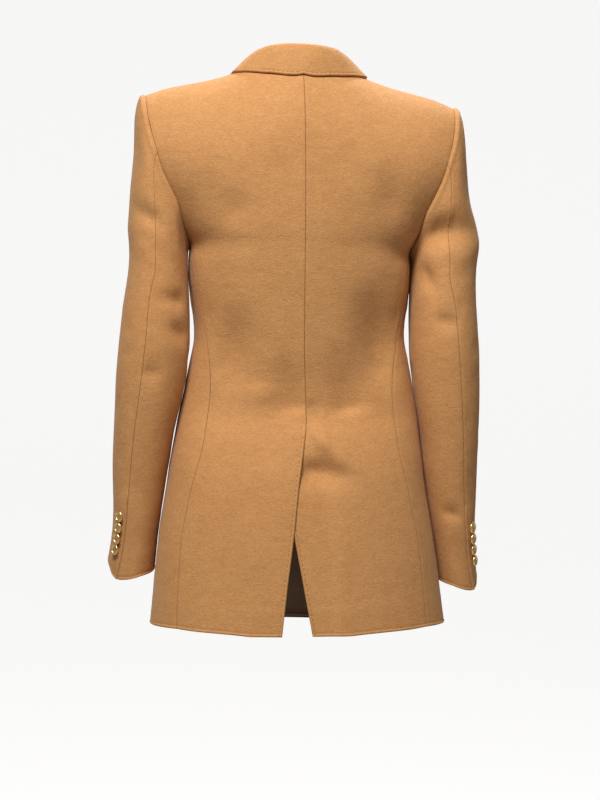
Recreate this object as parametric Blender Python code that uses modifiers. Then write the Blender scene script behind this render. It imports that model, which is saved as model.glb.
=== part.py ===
"""Double breasted blazer, worn and empty: thin cloth walls with open neck, armholes, cuffs, hem and back vent.

Metres, +Z up. The fronts face -Y, the wearer's left is +X, and the origin is the middle of the neck base.
Tables and surface functions below work in millimetres; slab() turns their points into metres.
"""
import math
from collections import namedtuple

import bmesh
import bpy
import numpy as np
from mathutils import Vector

NAME = "double_breasted_blazer"
MM = 0.001

# Cloth and seams
CLOTH = 2.2           # wall of the cloth
COLLAR_CLOTH = 2.0
SEAM = 0.3            # space between two pieces at a seam
LAYER = 0.9           # space between two layers that lie on each other
SQUARENESS = 2.3      # 2 gives an ellipse, more gives fuller corners

# Shoulders and pose
BACK_ROLL = 130.0     # depth below the shoulder ridge over which the cloth turns to the back
FRONT_ROLL = 150.0
ROLL_SHAPE = 2.0
RIDGE_Y = -6.0        # the shoulder seam lies a little forward
SHOULDER_TILT = 0.034 # the wearer's left shoulder is carried higher
ARC_PER_DEGREE = 0.9  # about this much of the sleeve's girth for each degree round it
SLEEVE_TILT = 1.1     # share of that tilt that reaches the cuffs

# Fronts
WRAP = 75.0           # how far each front passes the centre front
BREAK_Z = -290.0      # where the lapels start to turn back
NECK_X = 70.0         # side neck point
BUTTON_COLUMN = 57.0
BUTTON_ROWS = (-312.0, -400.0, -488.0)

# Vent
VENT_TOP = -457.0
VENT_STEP = -466.0
VENT_RECESS = 3.9     # the right flap lies this much under the left
CENTRE_DRIFT = 5.0    # the centre seam bends this far to the right
CENTRE_BEND = 110.0   # over this height above the vent

# Buttons: outline from the top middle down to the underside, as shares of the radius
BUTTON_PROFILE = ((0.0, 0.46), (0.62, 0.40), (0.82, 0.58), (1.0, 0.44), (0.92, 0.22), (0.36, 0.16), (0.36, 0.0),
                  (0.0, 0.0))
CUFF_BUTTON_RADIUS = 7.5
CUFF_BUTTON_TOP = -592.0
CUFF_BUTTON_PITCH = 15.1
CUFF_BUTTON_ROUND = 63.0   # place of the top one round the arm
CUFF_BUTTON_TURN = 0.8     # and how much further each next one lies
FRONT_BUTTON_RADIUS = 12.0
BUTTON_LIFT = 0.5

CLOTH_COLOUR = (0.52, 0.30, 0.13, 1.0)
GOLD_COLOUR = (0.83, 0.58, 0.22, 1.0)


class Table:
    """Rows of named columns; a smooth curve through the rows gives the values between them."""

    def __init__(self, names, *rows):
        ordered = np.array(sorted(rows), dtype=float)
        self.row = namedtuple("Row", names.split()[1:])
        self.key = ordered[:, 0]
        self.values = ordered[:, 1:]
        self.slopes = np.gradient(self.values, self.key, axis=0)

    def read(self, key):
        key = min(max(key, self.key[0]), self.key[-1])
        i = min(int(np.searchsorted(self.key, key, side="right")) - 1, len(self.key) - 2)
        span = self.key[i + 1] - self.key[i]
        t = (key - self.key[i]) / span
        here = 2 * t ** 3 - 3 * t ** 2 + 1
        slope_here = t ** 3 - 2 * t ** 2 + t
        slope_there = t ** 3 - t ** 2
        values = (self.values[i] * here + self.values[i + 1] * (1 - here)
                  + span * (self.slopes[i] * slope_here + self.slopes[i + 1] * slope_there))
        return self.row(*values)


# The body's level sections: half widths, and depths to the back and to the front of a middle line
TORSO = Table(
    "z back_width front_width middle back front",
    (40, 300, 285, -8, 96, 100), (0, 288, 276, -8, 97, 104), (-34, 275, 262, -8, 98, 106),
    (-60, 262, 250, -8, 99.5, 108), (-90, 245, 232, -8, 101, 110), (-120, 228, 212, -8, 102.5, 111),
    (-150, 206, 190, -8, 103, 113), (-180, 181, 170, -8, 102, 115), (-207, 161.5, 155, -8, 100, 116),
    (-226, 147.2, 147.2, -8, 97.5, 115), (-250, 147, 148, -8, 95, 112), (-275, 145.8, 147.8, -9, 92.7, 107),
    (-300, 142.4, 145.2, -10, 90.3, 102), (-325, 139.9, 141.2, -11, 88, 98), (-350, 140.2, 140.6, -12, 85.3, 96),
    (-375, 145, 145.2, -13, 82, 95), (-400, 150.2, 150.2, -14, 78.5, 95.5), (-425, 154.5, 154.5, -14, 76.3, 96),
    (-437, 157, 157, -14, 75.8, 96.5), (-450, 159.4, 159.4, -14, 78.5, 97), (-475, 163.1, 163.1, -14.5, 91.5, 98),
    (-500, 166.8, 166.8, -15, 102.5, 99), (-525, 170.2, 170.2, -15, 110, 100), (-550, 173.6, 173.6, -15, 114.5, 101),
    (-600, 181.6, 181.6, -15, 120.3, 103), (-650, 188.2, 188.2, -15, 123.6, 105), (-700, 193.5, 193.5, -15, 126.2, 107),
    (-740, 197.8, 197.8, -15, 128, 108.5))

# Height of the shoulder ridge from the middle of the neck to the shoulder point
SHOULDER = Table("x z", (0, 32), (40, 20), (70, 8.5), (89, 0), (118, -9.5), (150, -17), (182, -25), (204.5, -34),
                 (230, -46))

# The armhole seam on the body: 0 at the shoulder point, 90 at the back, 180 under the arm, 270 in front
ARMHOLE = Table(
    "round angle z",
    (0, 45.3, -34), (14, 46.0, -39), (28, 47.2, -51), (46, 49.2, -71), (64, 51.05, -91), (82, 52.7, -114),
    (100, 55.6, -139), (118, 58.2, -161), (134, 62.1, -181), (150, 72.5, -207), (165, 82, -221), (180, 90, -226),
    (195, 98, -220), (210, 108.4, -203), (226, 113.2, -180), (242, 118.7, -157), (260, 123.7, -132),
    (278, 126.7, -107), (296, 128.4, -83), (314, 129.4, -63), (332, 130, -48), (346, 130.65, -38.5),
    (360, 131.2, -34))
BACK_ROUND = (0, 14, 28, 46, 64, 82, 100, 118, 134, 150)
UNDERARM_DIP = 22.0    # how far the side panel's first rows bend down below the armhole
UNDER_ROUND = (150, 160, 170, 180, 190, 200, 210)
FRONT_ROUND = (360, 346, 332, 314, 296, 278, 260, 242, 226, 210)

# Side seams below the armhole, as distances from the middle, and the levels of the panels' rows there
SIDE_BACK = Table(
    "z x", (-207, 154.5), (-226, 144.5), (-250, 141.5), (-275, 138), (-300, 134), (-325, 130), (-350, 126),
    (-375, 122.5), (-400, 120.5), (-425, 120.5), (-450, 122.8), (-475, 126.2), (-500, 130.5), (-525, 137),
    (-550, 143.3), (-575, 148.6), (-600, 153.4), (-625, 156.8), (-650, 158.9), (-675, 160.6), (-700, 162.2),
    (-740, 164))
SIDE_FRONT = Table("z x", (-203, 150), (-226, 136), (-260, 127), (-345, 118), (-430, 129), (-520, 145), (-620, 159),
                   (-740, 172))
LEVELS = (-226, -248, -274, -304, -338, -372, -402, -430, VENT_TOP, VENT_STEP, -496, -530, -565, -600, -636, -670,
          -700, -727)
CENTRE_BACK = Table("edge z", (-34, 10), (-51, -14), (-91, -66), (-139, -126), (-181, -173), (-226, -224),
                    (-457, -457), (-466, -466), (-727, -734))
FRONT_EDGE = Table("edge z", (-34, 8.5), (-51, -22), (-83, -68), (-132, -122), (-180, -176), (-226, -226),
                   (-274, -277), (-304, -308), (-727, -736))

# The vent: how far past the middle each half's edge lies, towards the wearer's left
VENT_EDGE = Table("z left right", (-466, -5, 34), (-500, -1, 28.5), (-531, 3, 23), (-601, 11, 11), (-667, 21, -0.5),
                  (-740, 31, -13))

# Sleeve head: reach from the armhole seam, and from the upper arm ring back to it
SLEEVE_HEAD = Table(
    "round out1 back1 up1 out2 back2 up2",
    (-45, 14, -4, -2, -10, -4, 95), (0, 17.5, 0, 2, -17.5, 0, 148), (45, 13, 3, -3, -10, 4, 95),
    (90, 9, 1, -8, -2, 3, 60), (135, 6, 4, -9, 1, 3, 30), (180, 3, 0, -9, 1, 0, 16), (225, 6, -4, -9, 1, -3, 30),
    (270, 10, -2, -8, -2, -3, 60), (315, 14, -4, -2, -10, -4, 95), (360, 17.5, 0, 2, -17.5, 0, 148),
    (405, 13, 3, -3, -10, 4, 95))

# Sleeve rings below the head, from the upper arm to the cuff
SLEEVE = Table(
    "along outer_x outer_z inner_x inner_z middle depth lean",
    (0, 234.5, -208, 148.6, -276, -8, 63, 0), (40, 234, -245, 148, -292, -7, 62.5, 0),
    (80, 236, -285, 147.4, -312, -5, 61.5, 0), (120, 239.3, -322, 147.2, -336, -3, 60, 0),
    (158, 242.6, -360, 147.6, -363, -2, 58.5, 0.02), (193, 244.2, -395, 151.2, -396, -4, 57, 0.05),
    (228, 244.7, -430, 157.2, -430, -7, 55.5, 0.08), (268, 245, -470, 165, -470, -13, 54, 0.12),
    (308, 245, -510, 169.7, -510, -20, 52.5, 0.15), (348, 244.6, -550, 175.7, -550, -27, 51, 0.18),
    (388, 243.6, -590, 182, -590, -34, 50, 0.22), (423, 244.2, -625, 187, -625, -41, 49, 0.28),
    (453, 247, -655, 191.5, -655, -47, 49, 0.34))

# How far each sleeve's outer and inner side stand off those rings, by height, and the turn of the hind seam
SLEEVE_EASE = Table(
    "z left_out right_out left_in",
    (-740, 3.6, 0, 1.6), (-650, 3.6, 0, 1.6), (-600, 0, 0, 1.6), (-500, -0.7, -1.5, 1), (-440, -0.8, -2.4, 1.6),
    (-400, -1, -3.2, 1.4), (-350, -2.7, -2.7, 0), (-318, -3.3, -1.7, 0), (-243, -7.5, 2.7, 0), (-217, -6.3, 6, 0),
    (-185, -5, 3.5, 0), (-163, -3.9, -0.7, 0), (-112, -3.7, -1.3, 0), (-60, 0, 0, 0))
HIND_SEAM = Table("along turn", (-160, 0), (0, 6), (40, 5), (80, -2), (158, -5), (268, -9), (348, -13), (423, -22),
                  (453, -31))
SLEEVE_LENGTH = 453.0  # from the upper arm to the cuff

# The cuff's hem line: how far it dips round the wrist, fading into the sleeve over the rise
CUFF_DROP = Table(
    "round drop", (-180, 2), (-90, 2), (-20, 0), (20, 1.5), (60, 7), (82, 9), (104, 6), (130, 1), (160, 4), (190, 9),
    (215, 6), (250, 2), (270, 2))
CUFF_RISE = 45.0

# Rows and columns of the sleeve panels
HEAD_ROWS = (0.0, 0.1, 0.22, 0.36, 0.52, 0.7, 0.86)
ARM_ROWS = (0, 36, 68, 100, 132, 160, 190, 222, 258, 295, 332, 366, 398, 427, SLEEVE_LENGTH)
TOP_ROUND = (-134, -118, -100, -82, -64, -46, -28, -14, 0, 14, 28, 46, 64, 82)
LOWER_ROUND = (82, 100, 118, 134, 150, 165, 180, 195, 210, 226)

# How far the wearer's stance carries each level to the left
SWAY = Table("z x", (-740, 2.5), (-650, 4), (-575, 5), (-525, 4.5), (-450, 2), (-375, 0), (-300, 0), (40, 0))

# Collar from the centre back to its end: neck seam and outer edge on the body (x, depth below the ridge, which
# is negative in front), the fold between them, and how far the piece lies on the body instead of standing up
COLLAR = Table(
    "along seam_x seam_drop fold_x fold_y fold_z edge_x edge_drop lying",
    (-0.22, -38, 11, -30, 39, 37, -44, 23, 0), (0, 0, 22, 0, 48, 37.5, 0, 37, 0),
    (0.22, 38, 11, 30, 39, 37, 44, 23, 0), (0.4, 60, 4, 49, 16, 34.5, 74, 8, 0), (0.5, 70, 0, 56.5, -6, 31, 89, 0, 0),
    (0.62, 67, -8, 58.5, -36, 18, 98, -10, 0.3), (0.8, 57.5, -34, 55, -66, -11, 98, -29, 1),
    (1.0, 42.6, -67, 42, -97, -46, 88, -39, 1))
COLLAR_THINNING = 0.5   # share of the cloth taken off inside the fold
COLLAR_STATIONS = (0, 0.07, 0.14, 0.22, 0.31, 0.4, 0.45, 0.5, 0.56, 0.62, 0.71, 0.8, 0.9, 1.0)
COLLAR_ROUND = (0.0, 0.45, 0.8, 0.94, 1.0, 1.06, 1.2, 1.55, 2.0)
COLLAR_FOLD = 7.5       # reach of the fold's bend round the free neck
COLLAR_ROLL = 4.0       # height of the fold above the fall where the collar lies on the front
COLLAR_BEND = 6.0       # reach of that fold's bend

# Lapels, as places on the fronts: gorge at the roll line, notch, peak, and the belly of the outer edge
GORGE = (42.2, -49.4)
NOTCH = (89.0, -40.0)
PEAK = (133.0, -35.0)
BELLY = 13.0
LAPEL_END = (-66.0, -284.0)   # where the upper lapel's outer edge meets its roll line
UNDER_LAPEL_SHARE = 0.6       # the under lapel goes below the other front this far down
NOTCH_SHARE = 0.52            # where the notch lies across the lapel's top
LAPEL_ROLL = 2.2              # height of the lapel above its front at the roll line

# Largest folds: a line from one place to another, its half width, its depth (ridges are negative) and the share of
# the line at which it is deepest. On the body the places are x and z, on the sleeves they are the arc and z.
BACK_FOLDS = (
    (-80, -256, -114, -446, 29, 22.0, 0.55), (-44, -345, -64, -454, 22, 8.0, 0.85),
    (88, -292, 96, -446, 25, 13.0, 0.5), (30, -352, 12, -454, 18, 6.0, 0.85), (57, -400, 57, -474, 20, -4.0, 0.3),
    (97, -150, 84, -220, 20, 4.0, 0.5), (-117, -100, -108, -200, 18, 4.5, 0.6))
VENT_FOLDS = ((0, -455, -92, -545, 12, -6.0, 0.3), (12, -518, -92, -536, 15, 13.0, 0.25))
LEFT_SLEEVE_FOLDS = (
    (16, -180, 99, -210, 12, 6.0, 0.55), (70, -298, 135, -308, 10, 6.0, 0.7), (90, -334, 144, -358, 12, 5.5, 0.6),
    (65, -397, 106, -406, 10, 3.5, 0.5))
RIGHT_SLEEVE_FOLDS = (
    (5, -196, 149, -206, 19, 17.0, 0.6), (135, -240, 81, -290, 12, 7.0, 0.4), (113, -317, 63, -323, 10, 5.0, 0.5),
    (126, -571, 72, -577, 9, 4.0, 0.5))


def smooth(value, low, high):
    """0 below low, 1 above high, and an even curve between."""
    t = min(max((value - low) / (high - low), 0.0), 1.0)
    return t * t * (3 - 2 * t)


def fold_depth(folds, across, up):
    """Depth of all folds at a place, each fading out to its sides and ends."""
    total = 0.0
    for x0, z0, x1, z1, half_width, depth, crest in folds:
        start = Vector((x0, z0))
        line = Vector((x1, z1)) - start
        share = min(max((Vector((across, up)) - start).dot(line) / line.length_squared, 0.0), 1.0)
        distance = (Vector((across, up)) - start - line * share).length / half_width
        total += depth * smooth(share, 0, crest) * smooth(1 - share, 0, 1 - crest) * math.exp(-distance * distance)
    return total


def power(value, exponent):
    return math.copysign(abs(value) ** exponent, value)


def torso(angle, z, mirror=1):
    """Outer face of the body on the wearer's left: 0 is the centre back, 90 the side, 180 the centre front."""
    size = TORSO.read(z)
    behind = angle < 90
    sine = math.sin(math.radians(angle))
    cosine = math.cos(math.radians(angle))
    width = size.back_width if behind else size.front_width
    x = width * power(sine, 2 / SQUARENESS)
    y = size.middle + (size.back if behind else size.front) * power(cosine, 2 / SQUARENESS)
    roll = BACK_ROLL if behind else FRONT_ROLL
    drop = min(max((SHOULDER.read(abs(x)).z - z) / roll, 0.0), 1.0)
    share = (1 - (1 - drop) ** ROLL_SHAPE) ** (1 / ROLL_SHAPE)
    ridge = RIDGE_Y + (SEAM if behind else -SEAM) / 2
    y = ridge + (y - ridge) * share
    if behind:
        folds = BACK_FOLDS + VENT_FOLDS if mirror < 0 else BACK_FOLDS
        y -= fold_depth(folds, x * mirror, z) * cosine ** 0.5
    return Vector((x, y, z))


def angle_at(x, z, behind):
    """The angle round the body at which its outer face lies at a distance from the middle."""
    size = TORSO.read(z)
    width = size.back_width if behind else size.front_width
    sine = min(abs(x) / width, 1.0) ** (SQUARENESS / 2)
    from_middle = math.copysign(math.degrees(math.asin(sine)), x)
    return from_middle if behind else 180 - from_middle


def torso_normal(angle, z, mirror=1):
    step = 0.3
    round_it = torso(angle + step, z, mirror) - torso(angle - step, z, mirror)
    if angle < 90 < angle + step or angle - step < 90 <= angle:
        round_it = torso(90 + step, z, mirror) - torso(90 - step, z, mirror)
    upward = torso(angle, z + step, mirror) - torso(angle, z - step, mirror)
    normal = upward.cross(round_it)
    if SHOULDER.read(abs(torso(angle, z).x)).z - z < step:
        normal.y = 0.0
    return normal.normalized()


def on_body(x, drop):
    """Angle and height of a place given by its distance from the middle and its depth below the ridge."""
    z = SHOULDER.read(abs(x)).z - abs(drop)
    return angle_at(x, z, drop >= 0), z


def armhole(round_it):
    row = ARMHOLE.read(round_it % 360)
    return torso(row.angle, row.z)


def arm_ring(round_it, along):
    """A place on one of the sleeve's rings below the head."""
    size = SLEEVE.read(along)
    cosine = power(math.cos(math.radians(round_it)), 0.92)
    sine = power(math.sin(math.radians(round_it)), 0.92)
    x = (size.outer_x + size.inner_x) / 2 + cosine * (size.outer_x - size.inner_x) / 2
    z = (size.outer_z + size.inner_z) / 2 + cosine * (size.outer_z - size.inner_z) / 2
    return Vector((x, size.middle + size.depth * sine, z - size.lean * size.depth * sine))


def sleeve(round_it, along, mirror=1):
    """Outer face of the sleeve: along runs from -1 at the armhole to 0 at the upper arm, then on in millimetres."""
    reach = HIND_SEAM.read(along * 160 if along < 0 else along)
    turned = round_it + reach.turn * math.sin(math.radians(round_it)) ** 2 if 0 < round_it < 180 else round_it
    if along < 0:
        t = 1 + along
        head = SLEEVE_HEAD.read(turned if turned > -45 else turned + 360)
        seam = armhole(round_it)
        first = Vector((head.out1, head.back1, head.up1))
        seam += first.normalized() * SEAM
        upper = arm_ring(turned, 0)
        last = upper + Vector((head.out2, head.back2, head.up2))
        point = (seam * (1 - t) ** 3 + (seam + first) * 3 * t * (1 - t) ** 2 + last * 3 * t * t * (1 - t)
                 + upper * t ** 3)
    else:
        t = 1
        point = arm_ring(turned, along)
    middle = SLEEVE.read(max(along, 0))
    inward = Vector(((middle.outer_x + middle.inner_x) / 2, middle.middle, point.z)) - point
    folds = LEFT_SLEEVE_FOLDS if mirror > 0 else RIGHT_SLEEVE_FOLDS
    depth = fold_depth(folds, round_it * ARC_PER_DEGREE, point.z)
    outward = math.cos(math.radians(turned))
    ease = SLEEVE_EASE.read(point.z)
    if outward > 0:
        point.x += (ease.left_out if mirror > 0 else ease.right_out) * outward * smooth(t, 0.1, 0.7)
    elif mirror > 0:
        point.x += ease.left_in * outward
    point.z -= CUFF_DROP.read(round_it).drop * smooth(along, SLEEVE_LENGTH - CUFF_RISE, SLEEVE_LENGTH)
    return point + inward.normalized() * depth * smooth(t, 0.1, 0.5)


def sleeve_normal(round_it, along, mirror=1):
    step = 0.5
    ahead, behind = (0.02, 0.0) if along < -0.97 else (0.0, 0.02) if -0.02 < along <= 0 else (0.02, 0.02)
    if along > 0:
        ahead = behind = 2.0
    down = sleeve(round_it, along + ahead, mirror) - sleeve(round_it, along - behind, mirror)
    across = sleeve(round_it + step, along, mirror) - sleeve(round_it - step, along, mirror)
    return down.cross(across).normalized()


def posed(point, sleeve_share=0.0):
    """The wearer's stance: the left shoulder a little higher, the skirt a little to the left."""
    level = sleeve_share + (1 - sleeve_share) * smooth(point.z, -420, -230)
    sway = SWAY.read(point.z).x
    return Vector((point.x + sway, point.y, point.z + SHOULDER_TILT * point.x * level))


def slab(name, columns, rows, outer, thickness, material, share=0.0):
    """A closed cloth wall: a flat slab of cells, each corner put on its place on the outer or the inner face.

    outer(column, row) gives a point of the outer face and the outward normal there.
    """
    mesh = bmesh.new()
    bmesh.ops.create_grid(mesh, x_segments=len(columns) - 1, y_segments=len(rows) - 1, size=0.5)
    bmesh.ops.solidify(mesh, geom=mesh.faces[:], thickness=1.0)
    heights = sorted({round(vert.co.z) for vert in mesh.verts})
    found = {}
    for vert in mesh.verts:
        column = round((vert.co.x + 0.5) * (len(columns) - 1))
        row = round((vert.co.y + 0.5) * (len(rows) - 1))
        if (column, row) not in found:
            found[column, row] = outer(columns[column], rows[row])
        point, normal = found[column, row]
        depth = 0.0 if round(vert.co.z) == heights[-1] else thickness
        vert.co = posed(point - normal * depth, share) * MM
    if mesh.calc_volume(signed=True) < 0:
        bmesh.ops.reverse_faces(mesh, faces=mesh.faces[:])
    bmesh.ops.triangulate(mesh, faces=mesh.faces[:], quad_method="SHORT_EDGE")
    data = bpy.data.meshes.new(name)
    mesh.to_mesh(data)
    mesh.free()
    data.materials.append(material)
    data.shade_smooth()
    data.set_sharp_from_angle(angle=math.radians(50))
    piece = bpy.data.objects.new(name, data)
    PARTS.objects.link(piece)
    return piece


def mirrored(point, normal, mirror):
    return Vector((point.x * mirror, point.y, point.z)), Vector((normal.x * mirror, normal.y, normal.z))


def lerp(start, end, share):
    return start + (end - start) * share


def trimmed(share, width):
    """A share of a panel's width, drawn in so that each edge keeps its half of the seam's space."""
    edge = SEAM / 2 / width
    return edge + (1 - 2 * edge) * share


def edge_places(round_list, seam, behind):
    """Places down a panel's side: along the armhole, then along the side seam."""
    rows = [ARMHOLE.read(round_it) for round_it in round_list]
    places = [(row.angle, row.z) for row in rows]
    return places + [(angle_at(seam.read(z).x, z, behind), z) for z in LEVELS]


def top_profile(angle_in, angle_out, behind, neck_x, neck_z, edge_z):
    """Shares of the top row's fall, from the neck to the shoulder point, at shares of its width."""
    def share(u):
        angle = lerp(angle_in, angle_out, u)
        z = edge_z
        for _ in range(6):
            x = abs(torso(angle, z).x)
            ridge = SHOULDER.read(x).z
            z = min(ridge, lerp(neck_z, SHOULDER.read(neck_x).z, x / neck_x)) if x < neck_x else ridge
        return (z - edge_z) / (neck_z - edge_z)
    return share


def back_edge(z, mirror):
    """How far past the centre back a half's edge lies; the vent's edges lean to the wearer's left."""
    if z > VENT_STEP + 1:
        return -CENTRE_DRIFT * mirror * smooth(-z, -VENT_TOP - CENTRE_BEND, -VENT_TOP)
    edge = VENT_EDGE.read(z)
    return edge.left if mirror > 0 else -edge.right


def build_back(name, mirror):
    places = edge_places(BACK_ROUND, SIDE_BACK, True)
    neck_share = angle_at(NECK_X, SHOULDER.read(NECK_X).z, True) / places[0][0]
    columns = [neck_share * i / 3 for i in range(3)] + [lerp(neck_share, 1, i / 7) for i in range(8)]
    centre = CENTRE_BACK.read(places[0][1]).z
    profile = top_profile(0.0, places[0][0], True, NECK_X, centre, places[0][1])

    def outer(u, row):
        angle_out, edge_z = places[row]
        centre_z = CENTRE_BACK.read(edge_z).z
        z = lerp(edge_z, centre_z, profile(u))
        inner = angle_at(back_edge(edge_z, mirror), z, True)
        angle = lerp(inner, angle_out, trimmed(u, 150.0))
        point = torso(angle, z, mirror)
        normal = torso_normal(angle, z, mirror)
        if mirror < 0:
            near = smooth(-point.x, -30, -8) if z > -495 else smooth(-point.x, -52, -30)
            point -= normal * VENT_RECESS * near * smooth(-z, -VENT_TOP - 34, -VENT_TOP - 2)
        return mirrored(point, normal, mirror)

    return slab(name, columns, range(len(places)), outer, CLOTH, CAMEL)


def build_side(name, mirror):
    columns = UNDER_ROUND
    levels = (None,) + LEVELS

    def outer(round_it, row):
        u = (round_it - columns[0]) / (columns[-1] - columns[0])
        under = ARMHOLE.read(round_it)
        z = under.z if row == 0 else levels[row] - UNDERARM_DIP * 4 * u * (1 - u) * 0.6 ** row
        start = angle_at(SIDE_BACK.read(z).x, z, True)
        end = angle_at(SIDE_FRONT.read(z).x, z, False)
        angle = lerp(start, end, trimmed(u, 90.0))
        if row == 0:
            angle = lerp(ARMHOLE.read(columns[0]).angle, ARMHOLE.read(columns[-1]).angle, trimmed(u, 90.0))
            angle = lerp(angle, under.angle, 1 - abs(2 * u - 1) ** 6)
        return mirrored(torso(angle, z, mirror), torso_normal(angle, z, mirror), mirror)

    return slab(name, columns, range(len(levels)), outer, CLOTH, CAMEL)


def roll_x(z):
    """Distance of the roll line from the middle; the front edge below the break."""
    return lerp(NECK_X, -WRAP, min(max((SHOULDER.read(NECK_X).z - z) / (SHOULDER.read(NECK_X).z - BREAK_Z), 0), 1))


def under_wrap(point, mirror):
    """How much the left front is set in where the right front lies over it."""
    if mirror < 0:
        return 0.0
    edge = -roll_x(point.z)
    return (CLOTH + LAYER) * smooth(edge - point.x, -24, -3)


def front_place(x, z, mirror, lift):
    """A place on a front, moved out from its outer face."""
    angle = angle_at(x, z, False)
    point = torso(angle, z)
    normal = torso_normal(angle, z)
    return point + normal * (lift - under_wrap(point, mirror)), normal


def build_front(name, mirror):
    places = edge_places(FRONT_ROUND, SIDE_FRONT, False)
    neck_z = SHOULDER.read(NECK_X).z
    columns = [i / 12 for i in range(13)]
    profile = top_profile(angle_at(NECK_X, neck_z, False), places[0][0], False, NECK_X, neck_z, places[0][1])

    def outer(u, row):
        angle_out, edge_z = places[row]
        front_z = FRONT_EDGE.read(edge_z).z
        z = lerp(edge_z, front_z, profile(u))
        inner = angle_at(roll_x(front_z), z, False)
        angle = lerp(inner, angle_out, trimmed(u, 150.0))
        point = torso(angle, z)
        normal = torso_normal(angle, z)
        return mirrored(point - normal * under_wrap(point, mirror), normal, mirror)

    return slab(name, columns, range(len(places)), outer, CLOTH, CAMEL)


def build_lapel(name, mirror):
    """A peak lapel on its front; the under front's lapel ends where the other front crosses it."""
    end_x, end_z = LAPEL_END
    columns = (0.0, 0.06, 0.25, 0.5, 0.75, 1.0)
    rows = [i / 14 * (1.0 if mirror < 0 else UNDER_LAPEL_SHARE) for i in range(15)]

    def outer(u, v):
        if u < NOTCH_SHARE:
            top = (lerp(GORGE[0], NOTCH[0], u / NOTCH_SHARE), lerp(GORGE[1], NOTCH[1], u / NOTCH_SHARE))
        else:
            share = (u - NOTCH_SHARE) / (1 - NOTCH_SHARE)
            top = (lerp(NOTCH[0], PEAK[0], share), lerp(NOTCH[1], PEAK[1], share))
        inner_z = lerp(GORGE[1], end_z, v)
        inner_x = roll_x(inner_z) + 0.8
        if mirror > 0:
            inner_x = max(inner_x, 2.5 - roll_x(inner_z))
        edge_x = lerp(PEAK[0], end_x, v) + BELLY * math.sin(math.pi * v)
        edge_z = lerp(PEAK[1], end_z, v) - BELLY * 0.6 * math.sin(math.pi * v)
        fade = (1 - v) ** 6
        edge_x = max(edge_x, inner_x + 4)
        x = lerp(lerp(inner_x, edge_x, u), top[0], fade)
        z = lerp(lerp(inner_z, edge_z, u), top[1], fade)
        lift = LAYER + CLOTH + LAPEL_ROLL * math.exp(-u * 12)
        return mirrored(*front_place(x, z, mirror, lift), mirror)

    return slab(name, columns, rows, outer, CLOTH, CAMEL)


def build_collar(name):
    """Stand and fall in one folded piece round the neck."""
    stations = [-t for t in reversed(COLLAR_STATIONS[1:])] + list(COLLAR_STATIONS)

    def seam_point(t):
        row = COLLAR.read(t)
        return torso(*on_body(row.seam_x, row.seam_drop))

    def laid(row, away, s):
        place = on_body(lerp(row.seam_x, row.edge_x, s), lerp(row.seam_drop, row.edge_drop, s))
        lift = COLLAR_CLOTH + LAYER + COLLAR_ROLL * math.exp(-6 * s)
        return torso(*place) + torso_normal(*place) * lift + away * (1 - s) ** 4

    def section(t, w):
        row = COLLAR.read(t)
        seam_place = on_body(row.seam_x, row.seam_drop)
        seam = torso(*seam_place)
        normal = torso_normal(*seam_place)
        tangent = seam_point(t + 0.01) - seam_point(t - 0.01) if t < 0.99 else seam - seam_point(t - 0.02)
        away = normal.cross(tangent).normalized()
        away = away if away.dot(Vector((0, RIDGE_Y, 20)) - seam) > 0 else -away
        foot = seam + away * (COLLAR_CLOTH + lerp(2 * SEAM, COLLAR_ROLL, row.lying)) - normal * row.lying
        edge_place = on_body(row.edge_x, row.edge_drop)
        edge = torso(*edge_place) + torso_normal(*edge_place) * (COLLAR_CLOTH + LAYER)
        free_fold = Vector((row.fold_x, row.fold_y, row.fold_z))
        fold = lerp(free_fold, laid(row, away, 0.0), row.lying)
        free_outward = (edge - seam).to_2d().to_3d().normalized() * COLLAR_FOLD
        laid_outward = (laid(row, away, 0.1) - laid(row, away, 0.0)).normalized() * COLLAR_BEND / 2
        outward = lerp(free_outward, laid_outward, row.lying)
        if w <= 1:
            s = w
            rise = lerp(lerp(foot, fold - outward, 0.6), foot + normal * COLLAR_BEND, row.lying)
            corners = (foot, rise, fold - outward, fold)
        else:
            s = w - 1
            corners = (free_fold, free_fold + free_outward, lerp(edge, free_fold + free_outward, 0.5), edge)
        weights = ((1 - s) ** 3, 3 * s * (1 - s) ** 2, 3 * s * s * (1 - s), s ** 3)
        point = sum((corner * weight for corner, weight in zip(corners, weights)), Vector())
        return point if w <= 1 else lerp(point, laid(row, away, s), row.lying)

    def outer(w, t):
        side = -1 if t < 0 else 1
        t = abs(t)
        before, after = (t - 0.01, t + 0.01) if t < 0.99 else (t - 0.01, t)
        low, high = max(w - 0.02, 0), min(w + 0.02, 2)
        along = section(after, w) - section(before, w)
        up = section(t, high) - section(t, low)
        normal = along.cross(up).normalized() * (1 - COLLAR_THINNING * math.exp(-((w - 1) / 0.25) ** 2))
        return mirrored(section(t, w), normal, side)

    return slab(name, COLLAR_ROUND, stations, outer, COLLAR_CLOTH, CAMEL)


def build_sleeve(name, mirror, rounds):
    rows = [t - 1 for t in HEAD_ROWS] + list(ARM_ROWS)

    def outer(round_it, along):
        edge = 0.0
        if round_it == rounds[0]:
            edge = SEAM / 2
        if round_it == rounds[-1]:
            edge = -SEAM / 2
        shift = math.degrees(edge / 50.0)
        point = sleeve(round_it + shift, along, mirror)
        return mirrored(point, sleeve_normal(round_it, along, mirror), mirror)

    return slab(name, rounds, rows, outer, CLOTH, CAMEL, SLEEVE_TILT)


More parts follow.
